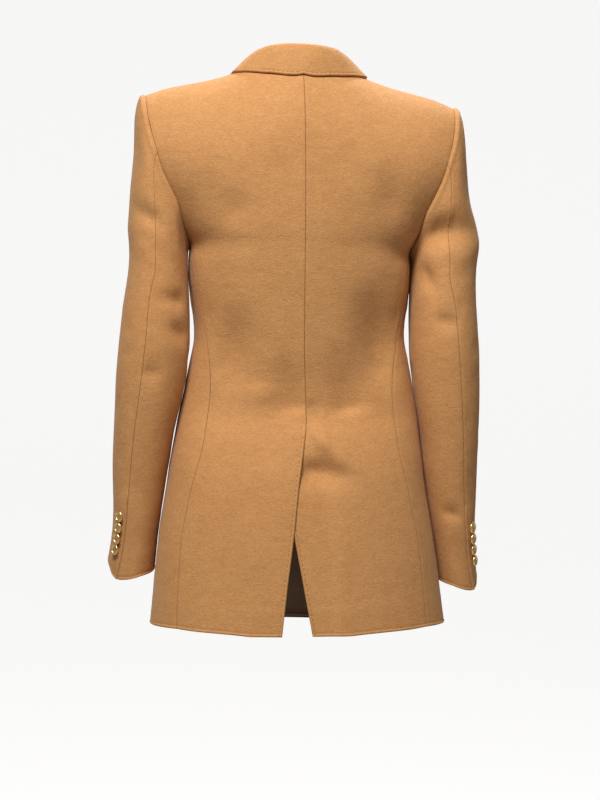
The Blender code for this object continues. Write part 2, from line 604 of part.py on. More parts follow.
def build_button(name, radius, point, normal, share=0.0):
    """A turned button standing on the cloth."""
    data = bpy.data.meshes.new(name)
    profile = bmesh.new()
    verts = [profile.verts.new((r * radius * MM, 0, h * radius * MM)) for r, h in BUTTON_PROFILE]
    for first, second in zip(verts, verts[1:]):
        profile.edges.new((first, second))
    profile.to_mesh(data)
    profile.free()
    data.materials.append(GOLD)
    piece = bpy.data.objects.new(name, data)
    turn = piece.modifiers.new("Turn", "SCREW")
    turn.steps = turn.render_steps = 12
    turn.use_merge_vertices = True
    turn.merge_threshold = 0.00001
    turn.use_smooth_shade = True
    piece.location = posed(point + normal * BUTTON_LIFT, share) * MM
    piece.rotation_mode = "QUATERNION"
    piece.rotation_quaternion = normal.to_track_quat("Z", "Y")
    PARTS.objects.link(piece)
    return piece


def build_cuff_buttons(side, mirror):
    for i in range(4):
        z = CUFF_BUTTON_TOP - CUFF_BUTTON_PITCH * i
        along = -202 - z
        round_it = CUFF_BUTTON_ROUND - i * CUFF_BUTTON_TURN
        for _ in range(8):
            along += sleeve(round_it, along, mirror).z - z
        point, normal = mirrored(sleeve(round_it, along, mirror), sleeve_normal(round_it, along, mirror), mirror)
        build_button(f"cuff_button_{side}_{i + 1}", CUFF_BUTTON_RADIUS, point, normal, SLEEVE_TILT)


def build_front_buttons():
    for side, x in (("left", BUTTON_COLUMN), ("right", -BUTTON_COLUMN)):
        for i, z in enumerate(BUTTON_ROWS):
            point, normal = front_place(abs(x), z, -1, 0.0)
            point, normal = mirrored(point, normal, math.copysign(1, x))
            build_button(f"front_button_{side}_{i + 1}", FRONT_BUTTON_RADIUS, point, normal)


def finish(name, colour, roughness, metallic):
    material = bpy.data.materials.new(name)
    material.use_nodes = True
    shader = material.node_tree.nodes["Principled BSDF"]
    shader.inputs["Base Color"].default_value = colour
    shader.inputs["Roughness"].default_value = roughness
    shader.inputs["Metallic"].default_value = metallic
    return material


for old in list(bpy.data.objects):
    bpy.data.objects.remove(old)
PARTS = bpy.data.collections.new(NAME)
bpy.context.scene.collection.children.link(PARTS)
CAMEL = finish("camel_wool", CLOTH_COLOUR, 0.85, 0.0)
GOLD = finish("gold_metal", GOLD_COLOUR, 0.25, 1.0)

for wearer_side, sign in (("left", 1), ("right", -1)):
    build_back(f"back_{wearer_side}", sign)
    build_side(f"side_{wearer_side}", sign)
    build_front(f"front_{wearer_side}", sign)
    build_lapel(f"lapel_{wearer_side}", sign)
    build_sleeve(f"sleeve_top_{wearer_side}", sign, TOP_ROUND)
    build_sleeve(f"sleeve_under_{wearer_side}", sign, LOWER_ROUND)
    build_cuff_buttons(wearer_side, sign)
build_collar("collar")
build_front_buttons()
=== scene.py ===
"""Looks of the double breasted blazer: cloth shells with seams, creases and hand sewing, a satin inside and
gold buttons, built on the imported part. Lengths in the tables and surface functions are millimetres.
"""
import math
from collections import namedtuple

import bmesh
import bpy
import numpy as np
from mathutils import Matrix, Vector, noise


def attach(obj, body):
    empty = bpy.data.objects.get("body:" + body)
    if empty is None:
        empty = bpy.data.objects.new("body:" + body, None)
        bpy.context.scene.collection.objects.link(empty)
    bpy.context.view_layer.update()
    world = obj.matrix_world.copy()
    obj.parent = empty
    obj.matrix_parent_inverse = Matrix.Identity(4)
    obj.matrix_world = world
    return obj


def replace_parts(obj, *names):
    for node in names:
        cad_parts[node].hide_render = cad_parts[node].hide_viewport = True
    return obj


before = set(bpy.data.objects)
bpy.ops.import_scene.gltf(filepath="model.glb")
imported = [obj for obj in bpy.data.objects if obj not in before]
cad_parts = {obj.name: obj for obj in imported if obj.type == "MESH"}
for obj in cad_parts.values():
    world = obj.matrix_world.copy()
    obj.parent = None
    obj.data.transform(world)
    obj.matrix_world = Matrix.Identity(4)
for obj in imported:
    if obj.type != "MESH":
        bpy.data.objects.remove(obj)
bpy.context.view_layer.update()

MM = 0.001

# Cloth and seams
CLOTH = 2.2
COLLAR_CLOTH = 2.0
SEAM = 0.3             # space between two pieces at a seam
LAYER = 0.9            # space between two layers that lie on each other
SQUARENESS = 2.3       # of the body's sections: 2 gives an ellipse, more gives fuller corners
ARM_FULLNESS = 0.92    # of the sleeve's rings: 1 gives an ellipse

# Shoulders and pose
BACK_ROLL = 130.0      # depth below the shoulder ridge over which the cloth turns to the back
FRONT_ROLL = 150.0
ROLL_SHAPE = 2.0
RIDGE_Y = -6.0
SHOULDER_TILT = 0.034  # the wearer's left shoulder is carried higher
TILT_FADE = (-420, -230)
SLEEVE_TILT = 1.1      # share of that tilt that reaches the cuffs
ARC_PER_DEGREE = 0.9   # about this much of the sleeve's girth for each degree round it

# Fronts
WRAP = 75.0            # how far each front passes the centre front
BREAK_Z = -290.0       # where the lapels start to turn back
NECK_X = 70.0
UNDER_WRAP_FADE = (-24, -3)
BUTTON_COLUMN = 57.0
BUTTON_ROWS = (-312.0, -400.0, -488.0)

# Vent
VENT_TOP = -457.0
VENT_STEP = -466.0
VENT_RECESS = 3.9      # the right flap lies this much under the left
FLAP_HIGH = (-30, -8)  # from where to where across it sinks at its top
FLAP_LOW = (-52, -30)  # and further down
FLAP_TURN = (480, 510)  # between these depths below the neck base one passes into the other
CENTRE_DRIFT = 5.0     # the centre seam bends this far to the right
CENTRE_BEND = 110.0    # over this height above the vent

# Buttons: distance from the middle and height, as shares of the radius
BUTTON_PROFILE = (
    (0.0, 0.30), (0.30, 0.315), (0.50, 0.30), (0.60, 0.27), (0.66, 0.275), (0.72, 0.40), (0.77, 0.475),
    (0.83, 0.50), (0.90, 0.475), (0.96, 0.41), (1.0, 0.31), (0.985, 0.24), (0.93, 0.19), (0.70, 0.14),
    (0.40, 0.11), (0.34, 0.05), (0.34, -0.12), (0.0, -0.12))
BUTTON_STEPS = 48
CUFF_BUTTONS = 4
CUFF_BUTTON_RADIUS = 7.5
CUFF_BUTTON_TOP = -592.0
CUFF_BUTTON_PITCH = 15.1
CUFF_BUTTON_ROUND = 63.0
CUFF_BUTTON_TURN = 0.8
FRONT_BUTTON_RADIUS = 12.0
BUTTON_LIFT = 0.5


class Table:
    """Rows of named columns; a smooth curve through the rows gives the values between them."""

    def __init__(self, names, *rows):
        ordered = np.array(sorted(rows), dtype=float)
        self.row = namedtuple("Row", names.split()[1:])
        self.key = ordered[:, 0]
        self.values = ordered[:, 1:]
        self.slopes = np.gradient(self.values, self.key, axis=0)

    def read(self, key):
        key = np.clip(np.asarray(key, dtype=float), self.key[0], self.key[-1])
        i = np.clip(np.searchsorted(self.key, key, side="right") - 1, 0, len(self.key) - 2)
        span = (self.key[i + 1] - self.key[i])[..., None]
        t = (key - self.key[i])[..., None] / span
        here = 2 * t ** 3 - 3 * t ** 2 + 1
        slopes = self.slopes[i] * (t ** 3 - 2 * t ** 2 + t) + self.slopes[i + 1] * (t ** 3 - t ** 2)
        values = self.values[i] * here + self.values[i + 1] * (1 - here) + span * slopes
        return self.row(*np.moveaxis(values, -1, 0))


# The body's level sections: half widths, and depths to the back and to the front of a middle line
TORSO = Table(
    "z back_width front_width middle back front",
    (40, 300, 285, -8, 96, 100), (0, 288, 276, -8, 97, 104), (-34, 275, 262, -8, 98, 106),
    (-60, 262, 250, -8, 99.5, 108), (-90, 245, 232, -8, 101, 110), (-120, 228, 212, -8, 102.5, 111),
    (-150, 206, 190, -8, 103, 113), (-180, 181, 170, -8, 102, 115), (-207, 161.5, 155, -8, 100, 116),
    (-226, 147.2, 147.2, -8, 97.5, 115), (-250, 147, 148, -8, 95, 112),
    (-275, 145.8, 147.8, -9, 92.7, 107), (-300, 142.4, 145.2, -10, 90.3, 102),
    (-325, 139.9, 141.2, -11, 88, 98), (-350, 140.2, 140.6, -12, 85.3, 96),
    (-375, 145, 145.2, -13, 82, 95), (-400, 150.2, 150.2, -14, 78.5, 95.5),
    (-425, 154.5, 154.5, -14, 76.3, 96), (-437, 157, 157, -14, 75.8, 96.5),
    (-450, 159.4, 159.4, -14, 78.5, 97), (-475, 163.1, 163.1, -14.5, 91.5, 98),
    (-500, 166.8, 166.8, -15, 102.5, 99), (-525, 170.2, 170.2, -15, 110, 100),
    (-550, 173.6, 173.6, -15, 114.5, 101), (-600, 181.6, 181.6, -15, 120.3, 103),
    (-650, 188.2, 188.2, -15, 123.6, 105), (-700, 193.5, 193.5, -15, 126.2, 107),
    (-740, 197.8, 197.8, -15, 128, 108.5))

# Height of the shoulder ridge by the distance from the middle
SHOULDER = Table(
    "x z",
    (0, 32), (40, 20), (70, 8.5), (89, 0), (118, -9.5), (150, -17), (182, -25), (204.5, -34), (230, -46))

# The armhole seam on the body: 0 at the shoulder point, 90 at the back, 180 under the arm, 270 in front
ARMHOLE = Table(
    "round angle z",
    (0, 45.3, -34), (14, 46.0, -39), (28, 47.2, -51), (46, 49.2, -71), (64, 51.05, -91), (82, 52.7, -114),
    (100, 55.6, -139), (118, 58.2, -161), (134, 62.1, -181), (150, 72.5, -207), (165, 82, -221),
    (180, 90, -226), (195, 98, -220), (210, 108.4, -203), (226, 113.2, -180), (242, 118.7, -157),
    (260, 123.7, -132), (278, 126.7, -107), (296, 128.4, -83), (314, 129.4, -63), (332, 130, -48),
    (346, 130.65, -38.5), (360, 131.2, -34))
BACK_ROUND = (0, 14, 28, 46, 64, 82, 100, 118, 134, 150)
UNDERARM_DIP = 22.0
UNDER_ROUND = (150, 210)
FRONT_ROUND = (360, 346, 332, 314, 296, 278, 260, 242, 226, 210)

# Side seams below the armhole, the levels of the panels' rows there, and the panels' middle edges
SIDE_BACK = Table(
    "z x", (-207, 154.5), (-226, 144.5), (-740, 164),
    *zip(range(-250, -701, -25), (141.5, 138, 134, 130, 126, 122.5, 120.5, 120.5, 122.8, 126.2, 130.5, 137,
                                  143.3, 148.6, 153.4, 156.8, 158.9, 160.6, 162.2)))
SIDE_FRONT = Table(
    "z x",
    (-203, 150), (-226, 136), (-260, 127), (-345, 118), (-430, 129), (-520, 145), (-620, 159), (-740, 172))
LEVELS = (
    -226, -248, -274, -304, -338, -372, -402, -430, VENT_TOP, VENT_STEP, -496, -530, -565, -600, -636,
    -670, -700, -727)
CENTRE_BACK = Table("edge z", (-34, 10), (-51, -14), (-91, -66), (-139, -126), (-181, -173), (-226, -224),
                    (-457, -457), (-466, -466), (-727, -734))
FRONT_EDGE = Table("edge z", (-34, 8.5), (-51, -22), (-83, -68), (-132, -122), (-180, -176), (-226, -226),
                   (-274, -277), (-304, -308), (-727, -736))

# The vent: how far past the middle each half's edge lies, towards the wearer's left
VENT_EDGE = Table(
    "z left right",
    (-466, -5, 34), (-500, -1, 28.5), (-531, 3, 23), (-601, 11, 11), (-667, 21, -0.5), (-740, 31, -13))

# Sleeves: the head's reach from the armhole and back from the upper arm, then the rings down to the cuff
SLEEVE_HEAD = Table(
    "round out1 back1 up1 out2 back2 up2",
    (-45, 14, -4, -2, -10, -4, 95), (0, 17.5, 0, 2, -17.5, 0, 148), (45, 13, 3, -3, -10, 4, 95),
    (90, 9, 1, -8, -2, 3, 60), (135, 6, 4, -9, 1, 3, 30), (180, 3, 0, -9, 1, 0, 16),
    (225, 6, -4, -9, 1, -3, 30), (270, 10, -2, -8, -2, -3, 60), (315, 14, -4, -2, -10, -4, 95),
    (360, 17.5, 0, 2, -17.5, 0, 148), (405, 13, 3, -3, -10, 4, 95))
SLEEVE = Table(
    "along outer_x outer_z inner_x inner_z middle depth lean",
    (0, 234.5, -208, 148.6, -276, -8, 63, 0), (40, 234, -245, 148, -292, -7, 62.5, 0),
    (80, 236, -285, 147.4, -312, -5, 61.5, 0), (120, 239.3, -322, 147.2, -336, -3, 60, 0),
    (158, 242.6, -360, 147.6, -363, -2, 58.5, 0.02), (193, 244.2, -395, 151.2, -396, -4, 57, 0.05),
    (228, 244.7, -430, 157.2, -430, -7, 55.5, 0.08), (268, 245, -470, 165, -470, -13, 54, 0.12),
    (308, 245, -510, 169.7, -510, -20, 52.5, 0.15), (348, 244.6, -550, 175.7, -550, -27, 51, 0.18),
    (388, 243.6, -590, 182, -590, -34, 50, 0.22), (423, 244.2, -625, 187, -625, -41, 49, 0.28),
    (453, 247, -655, 191.5, -655, -47, 49, 0.34))
# Small widenings of the two sleeves by height
SLEEVE_EASE = Table(
    "z left_out right_out left_in",
    (-740, 3.6, 0, 1.6), (-650, 3.6, 0, 1.6), (-600, 0, 0, 1.6), (-500, -0.7, -1.5, 1),
    (-440, -0.8, -2.4, 1.6), (-400, -1, -3.2, 1.4), (-350, -2.7, -2.7, 0), (-318, -3.3, -1.7, 0),
    (-243, -7.5, 2.7, 0), (-217, -6.3, 6, 0), (-185, -5, 3.5, 0), (-163, -3.9, -0.7, 0),
    (-112, -3.7, -1.3, 0), (-60, 0, 0, 0))
# How many degrees the hind seam turns on its way down
HIND_SEAM = Table(
    "along turn",
    (-160, 0), (0, 6), (40, 5), (80, -2), (158, -5), (268, -9), (348, -13), (423, -22), (453, -31))
# How much lower the cuff ends round the arm
CUFF_DROP = Table(
    "round drop",
    (-180, 2), (-90, 2), (-20, 0), (20, 1.5), (60, 7), (82, 9), (104, 6), (130, 1), (160, 4), (190, 9),
    (215, 6), (250, 2), (270, 2))
CUFF_RISE = 45.0       # the cuff's slanted hem line fades into the sleeve over this length
SLEEVE_LENGTH = 453.0
HEAD_LENGTH = 160      # of the sleeve's head, where the hind seam's turn is read
HEAD_ROWS = 7
ARM_ROWS = 20
LAST_ROW = 27.0        # of the backs, fronts and sleeves
TOP_SEAMS = (-134.0, 82.0)
UNDER_SEAMS = (82.0, 226.0)
CUFF_SLIT = (560, 568)  # height below the neck base at which the sleeve's slit opens
# How far the wearer's stance carries each height to the left
SWAY = Table(
    "z x",
    (-740, 2.5), (-650, 4), (-575, 5), (-525, 4.5), (-450, 2), (-375, 0), (-300, 0), (40, 0))

# Collar: neck seam and outer edge on the body, the fold between them, and how far the piece lies on the body
COLLAR = Table(
    "along seam_x seam_drop fold_x fold_y fold_z edge_x edge_drop lying",
    (-0.22, -38, 11, -30, 39, 37, -44, 23, 0), (0, 0, 22, 0, 48, 37.5, 0, 37, 0),
    (0.22, 38, 11, 30, 39, 37, 44, 23, 0), (0.4, 60, 4, 49, 16, 34.5, 74, 8, 0),
    (0.5, 70, 0, 56.5, -6, 31, 89, 0, 0), (0.62, 67, -8, 58.5, -36, 18, 98, -10, 0.3),
    (0.8, 57.5, -34, 55, -66, -11, 98, -29, 1), (1.0, 42.6, -67, 42, -97, -46, 88, -39, 1))
COLLAR_FOLD = 7.5
COLLAR_ROLL = 4.0
COLLAR_BEND = 6.0
COLLAR_THINNING = 0.5

# Lapels, as places on the fronts
GORGE = (42.2, -49.4)
NOTCH = (89.0, -40.0)
PEAK = (133.0, -35.0)
BELLY = 13.0
LAPEL_END = (-66.0, -284.0)
UNDER_LAPEL_SHARE = 0.6
NOTCH_SHARE = 0.52
LAPEL_ROLL = 2.2
LAPEL_TUCK = 3.0       # the front's own edge stays this far inside the rolled fold
LAPEL_INSIDE = 5.0     # how far the lapel's cloth runs on behind the front

# Largest folds: a line from one place to another, its half width, its depth (ridges are negative) and the
# share of the line at which it is deepest. Places are x and z on the body, the arc and z on the sleeves.
BACK_FOLDS = (
    (-80, -256, -114, -446, 29, 22.0, 0.55), (-44, -345, -64, -454, 22, 8.0, 0.85),
    (88, -292, 96, -446, 25, 13.0, 0.5), (30, -352, 12, -454, 18, 6.0, 0.85),
    (57, -400, 57, -474, 20, -4.0, 0.3), (97, -150, 84, -220, 20, 4.0, 0.5),
    (-117, -100, -108, -200, 18, 4.5, 0.6))
VENT_FOLDS = ((0, -455, -92, -545, 12, -6.0, 0.3), (12, -518, -92, -536, 15, 13.0, 0.25))
LEFT_SLEEVE_FOLDS = (
    (16, -180, 99, -210, 12, 6.0, 0.55), (70, -298, 135, -308, 10, 6.0, 0.7),
    (90, -334, 144, -358, 12, 5.5, 0.6), (65, -397, 106, -406, 10, 3.5, 0.5))
RIGHT_SLEEVE_FOLDS = (
    (5, -196, 149, -206, 19, 17.0, 0.6), (135, -240, 81, -290, 12, 7.0, 0.4),
    (113, -317, 63, -323, 10, 5.0, 0.5), (126, -571, 72, -577, 9, 4.0, 0.5))


def smooth(value, low, high):
    t = np.clip((value - low) / (high - low), 0.0, 1.0)
    return t * t * (3 - 2 * t)


def bump(value, middle, half_width):
    return np.exp(-((value - middle) / half_width) ** 2)


def lerp(start, end, share):
    return start + (end - start) * share


def power(value, exponent):
    return np.copysign(np.abs(value) ** exponent, value)


def flipped(points, mirror):
    """The same points or directions, on the wearer's right where mirror is -1."""
    return points * np.array((mirror, 1.0, 1.0))


def fold_depth(folds, across, up):
    """How deep folds press a face in at a place."""
    total = np.zeros(np.broadcast(across, up).shape)
    for x0, z0, x1, z1, half_width, depth, *crests in folds:
        crest = crests[0] if crests else 0.5
        line_x, line_z = x1 - x0, z1 - z0
        t = np.clip(((across - x0) * line_x + (up - z0) * line_z) / (line_x ** 2 + line_z ** 2), 0, 1)
        distance = np.hypot(across - x0 - line_x * t, up - z0 - line_z * t) / half_width
        total += depth * smooth(t, 0, crest) * smooth(1 - t, 0, 1 - crest) * np.exp(-distance * distance)
    return total


def unit(vectors):
    return vectors / np.maximum(np.linalg.norm(vectors, axis=-1, keepdims=True), 1e-9)


def torso(angle, z, mirror=1):
    """Outer face of the body on the wearer's left: 0 is the centre back, 90 the side, 180 the front."""
    angle, z = np.broadcast_arrays(np.asarray(angle, float), np.asarray(z, float))
    size = TORSO.read(z)
    behind = angle < 90
    cosine = np.cos(np.radians(angle))
    x = np.where(behind, size.back_width, size.front_width) * power(np.sin(np.radians(angle)), 2 / SQUARENESS)
    y = size.middle + np.where(behind, size.back, size.front) * power(cosine, 2 / SQUARENESS)
    drop = np.clip((SHOULDER.read(np.abs(x)).z - z) / np.where(behind, BACK_ROLL, FRONT_ROLL), 0, 1)
    share = (1 - (1 - drop) ** ROLL_SHAPE) ** (1 / ROLL_SHAPE)
    ridge = RIDGE_Y + np.where(behind, SEAM, -SEAM) / 2
    y = ridge + (y - ridge) * share
    folds = BACK_FOLDS + VENT_FOLDS if mirror < 0 else BACK_FOLDS
    y = y - np.where(behind, fold_depth(folds, x * mirror, z) * np.sqrt(np.clip(cosine, 0, 1)), 0)
    return np.stack((x, y, z), -1)


def torso_normal(angle, z):
    step = 0.3
    upward = torso(angle, z + step) - torso(angle, z - step)
    normal = np.cross(upward, torso(angle + step, z) - torso(angle - step, z))
    on_ridge = SHOULDER.read(np.abs(torso(angle, z)[..., 0])).z - z < step
    normal[..., 1] = np.where(on_ridge, 0, normal[..., 1])
    return unit(normal)


def angle_at(x, z, behind):
    """The angle round the body at which its outer face lies at a distance from the middle."""
    size = TORSO.read(z)
    width = size.back_width if behind else size.front_width
    sine = np.minimum(np.abs(x) / width, 1.0) ** (SQUARENESS / 2)
    from_middle = np.copysign(np.degrees(np.arcsin(sine)), x)
    return from_middle if behind else 180 - from_middle


def on_body(x, drop):
    """Angle and height of a place given by its distance from the middle and its depth below the ridge."""
    z = SHOULDER.read(np.abs(x)).z - np.abs(drop)
    return np.where(drop >= 0, angle_at(x, z, True), angle_at(x, z, False)), z


def armhole(round_it):
    """The armhole seam on the body."""
    row = ARMHOLE.read(np.mod(round_it, 360))
    return torso(row.angle, row.z)


def arm_ring(round_it, along):
    """The arm's ring at a way down it, 0 on its outer side and 90 behind."""
    size = SLEEVE.read(along)
    cosine = power(np.cos(np.radians(round_it)), ARM_FULLNESS)
    sine = power(np.sin(np.radians(round_it)), ARM_FULLNESS)
    x = (size.outer_x + size.inner_x) / 2 + cosine * (size.outer_x - size.inner_x) / 2
    z = (size.outer_z + size.inner_z) / 2 + cosine * (size.outer_z - size.inner_z) / 2
    return np.stack((x, size.middle + size.depth * sine, z - size.lean * size.depth * sine), -1)


def sleeve(round_it, along, mirror=1):
    """Outer face of the sleeve: along is -1 at the armhole, 0 at the upper arm, then millimetres down it."""
    round_it, along = np.broadcast_arrays(np.asarray(round_it, float), np.asarray(along, float))
    turn = HIND_SEAM.read(np.where(along < 0, along * HEAD_LENGTH, along)).turn
    hind = (round_it > 0) & (round_it < 180)
    turned = round_it + np.where(hind, turn * np.sin(np.radians(round_it)) ** 2, 0)
    in_head = along < 0
    t = np.where(in_head, 1 + along, 1.0)[..., None]
    head = SLEEVE_HEAD.read(np.where(turned > -45, turned, turned + 360))
    first = np.stack((head.out1, head.back1, head.up1), -1)
    seam = armhole(round_it)
    upper = arm_ring(turned, np.maximum(along, 0))
    last = upper + np.stack((head.out2, head.back2, head.up2), -1)
    curve = (seam * (1 - t) ** 3 + (seam + first) * 3 * t * (1 - t) ** 2 + last * 3 * t * t * (1 - t)
             + upper * t ** 3)
    point = np.where(in_head[..., None], curve, upper)
    folds = LEFT_SLEEVE_FOLDS if mirror > 0 else RIGHT_SLEEVE_FOLDS
    depth = fold_depth(folds, round_it * ARC_PER_DEGREE, point[..., 2])
    inward = unit(sleeve_middle(point, along) - point)
    outward = np.cos(np.radians(turned))
    ease = SLEEVE_EASE.read(point[..., 2])
    out = (ease.left_out if mirror > 0 else ease.right_out) * smooth(t[..., 0], 0.1, 0.7)
    shift = outward * np.where(outward > 0, out, ease.left_in if mirror > 0 else 0.0)
    point = point + shift[..., None] * (1.0, 0.0, 0.0)
    drop = CUFF_DROP.read(round_it).drop * smooth(along, SLEEVE_LENGTH - CUFF_RISE, SLEEVE_LENGTH)
    point = point - drop[..., None] * (0.0, 0.0, 1.0)
    return point + inward * (depth * smooth(t[..., 0], 0.1, 0.5))[..., None]


def sleeve_middle(point, along):
    size = SLEEVE.read(np.maximum(along, 0))
    return np.stack(((size.outer_x + size.inner_x) / 2, size.middle, point[..., 2]), -1)


def posed(points, sleeve_share=0.0):
    """The wearer's stance: the left shoulder a little higher, the skirt a little to the left."""
    x, y, z = np.moveaxis(points, -1, 0)
    level = sleeve_share + (1 - sleeve_share) * smooth(z, *TILT_FADE)
    return np.stack((x + SWAY.read(z).x, y, z + SHOULDER_TILT * x * level), -1)


def edge_place(rounds, seam, behind, row):
    """Angle and height down a panel's side: along the armhole, then along the side seam."""
    last = len(rounds) - 1
    at_arm = ARMHOLE.read(np.interp(row, range(last + 1), rounds))
    ends = ARMHOLE.read(rounds[-1])
    levels = np.interp(row, range(last, last + 1 + len(LEVELS)), (ends.z, *LEVELS))
    z = np.where(row <= last, at_arm.z, levels)
    below = angle_at(seam.read(z).x, z, behind)
    return np.where(row <= last, at_arm.angle, lerp(ends.angle, below, np.clip(row - last, 0, 1))), z


def top_profile(u, angle_in, angle_out, neck_z, edge_z):
    """Shares of the top row's fall, from the neck to the shoulder point."""
    angle = lerp(angle_in, angle_out, u)
    z = np.full_like(angle, edge_z)
    for _ in range(6):
        x = np.abs(torso(angle, z)[..., 0])
        ridge = SHOULDER.read(x).z
        across = lerp(neck_z, SHOULDER.read(NECK_X).z, x / NECK_X)
        z = np.where(x < NECK_X, np.minimum(ridge, across), ridge)
    return (z - edge_z) / (neck_z - edge_z)


def back_place(u, row, mirror):
    """A back half: u runs from the centre seam to the armhole and side seam, row down from the shoulder."""
    angle_out, edge_z = edge_place(BACK_ROUND, SIDE_BACK, True, row)
    top = ARMHOLE.read(0.0)
    fall = top_profile(u, 0.0, top.angle, CENTRE_BACK.read(top.z).z, top.z)
    z = lerp(edge_z, CENTRE_BACK.read(edge_z).z, fall)
    below = np.clip((VENT_TOP - edge_z) / (VENT_TOP - VENT_STEP), 0, 1)
    edge = VENT_EDGE.read(edge_z)
    centre = -CENTRE_DRIFT * mirror * smooth(-edge_z, -VENT_TOP - CENTRE_BEND, -VENT_TOP)
    past = lerp(centre, edge.left if mirror > 0 else -edge.right, below)
    point = torso(lerp(angle_at(past, z, True), angle_out, u), z, mirror)
    if mirror < 0:
        high, low = (smooth(-point[..., 0], *reach) for reach in (FLAP_HIGH, FLAP_LOW))
        near = lerp(high, low, smooth(-z, *FLAP_TURN))
        point[..., 1] -= VENT_RECESS * near * smooth(-z, -VENT_TOP - 34, -VENT_TOP - 2)
    return point


def side_place(u, row, mirror):
    """A side panel: u runs from the back seam to the front seam."""
    under = ARMHOLE.read(lerp(*UNDER_ROUND, u))
    dip = UNDERARM_DIP * 4 * u * (1 - u) * 0.6 ** np.maximum(row, 1)
    level = np.interp(row, range(1, len(LEVELS) + 1), LEVELS) - dip
    z = lerp(under.z, level, np.clip(row, 0, 1))
    angle = lerp(angle_at(SIDE_BACK.read(z).x, z, True), angle_at(SIDE_FRONT.read(z).x, z, False), u)
    ends = [ARMHOLE.read(round_it).angle for round_it in UNDER_ROUND]
    top_angle = lerp(lerp(*ends, u), under.angle, 1 - np.abs(2 * u - 1) ** 6)
    return torso(lerp(top_angle, angle, np.clip(row, 0, 1)), z, mirror)


def roll_x(z):
    """Distance of the roll line from the middle; the front edge below the break."""
    top = SHOULDER.read(NECK_X).z
    return lerp(NECK_X, -WRAP, np.clip((top - z) / (top - BREAK_Z), 0, 1))


def under_wrap(x, z, mirror):
    """How much the left front is set in where the right front lies over it."""
    if mirror < 0:
        return np.zeros_like(x)
    return (CLOTH + LAYER) * smooth(-roll_x(z) - x, *UNDER_WRAP_FADE)


def front_place(u, row, mirror):
    """A front: u runs from the roll line and free edge to the armhole and side seam."""
    angle_out, edge_z = edge_place(FRONT_ROUND, SIDE_FRONT, False, row)
    neck_z = SHOULDER.read(NECK_X).z
    neck_angle = angle_at(NECK_X, neck_z, False)
    fall = top_profile(u, neck_angle, ARMHOLE.read(360.0).angle, neck_z, ARMHOLE.read(0.0).z)
    front_z = FRONT_EDGE.read(edge_z).z
    z = lerp(edge_z, front_z, fall)
    tuck = LAPEL_TUCK * smooth(front_z, BREAK_Z, BREAK_Z + 25)
    point = torso(lerp(angle_at(roll_x(front_z) + tuck, z, False), angle_out, u), z)
    point[..., 1] += under_wrap(point[..., 0], z, mirror)
    return point


def lapel_place(u, v, mirror):
    """The lapel's face: u runs from behind the front round the fold at the roll line and out to the edge."""
    end_x, end_z = LAPEL_END
    behind, fold_end = 0.08, 0.28
    inner_z = lerp(GORGE[1], end_z, v)
    roll = roll_x(inner_z)
    inner_x = roll + 0.8
    if mirror > 0:
        inner_x = np.maximum(inner_x, 2.5 - roll)
    across = np.clip((u - fold_end) / (1 - fold_end), 0, 1)
    top_x = np.interp(across, (0, NOTCH_SHARE, 1), (GORGE[0], NOTCH[0], PEAK[0]))
    top_z = np.interp(across, (0, NOTCH_SHARE, 1), (GORGE[1], NOTCH[1], PEAK[1]))
    edge_x = np.maximum(lerp(PEAK[0], end_x, v) + BELLY * np.sin(np.pi * v), inner_x + 4)
    edge_z = lerp(PEAK[1], end_z, v) - BELLY * 0.6 * np.sin(np.pi * v)
    fade = (1 - v) ** 6
    x = lerp(lerp(inner_x, edge_x, across), top_x, fade)
    z = lerp(lerp(inner_z, edge_z, across), top_z, fade)
    angle = angle_at(x, z, False)
    normal = torso_normal(angle, z)
    sideways = unit(torso(angle - 0.5, z) - torso(angle + 0.5, z))
    rolled = (1 - smooth(inner_x - roll, 1.5, 7)) * (1 - 0.55 * smooth(v, 0.86, 1))
    height = LAYER + CLOTH + LAPEL_ROLL * np.exp(-across * 12) - under_wrap(x, z, mirror)
    radius = lerp(1.2, (2 * CLOTH + LAYER + LAPEL_ROLL) / 2, rolled)
    turn = np.pi * np.clip((fold_end - u) / (fold_end - behind), 0, 1)
    inward = LAPEL_INSIDE * np.clip(1 - u / behind, 0, 1)
    return (torso(angle, z) + normal * (height - radius * (1 - np.cos(turn)) - 0.3 * turn / np.pi)[..., None]
            + sideways * (inward - radius * np.sin(turn))[..., None])


def bezier(corners, s):
    s = s[..., None]
    weights = ((1 - s) ** 3, 3 * s * (1 - s) ** 2, 3 * s * s * (1 - s), s ** 3)
    return sum(corner * weight for corner, weight in zip(corners, weights))


def raised(place, lift):
    """A point over the body's outer face, at a place given as on_body gives it."""
    return torso(*place) + torso_normal(*place) * lift


def collar_seam(t):
    row = COLLAR.read(t)
    return torso(*on_body(row.seam_x, row.seam_drop))


def collar_laid(row, away, s):
    """The collar's face where it lies on the front."""
    place = on_body(lerp(row.seam_x, row.edge_x, s), lerp(row.seam_drop, row.edge_drop, s))
    lift = COLLAR_CLOTH + LAYER + COLLAR_ROLL * np.exp(-6 * s)
    return raised(place, lift[..., None]) + away * (1 - s)[..., None] ** 4


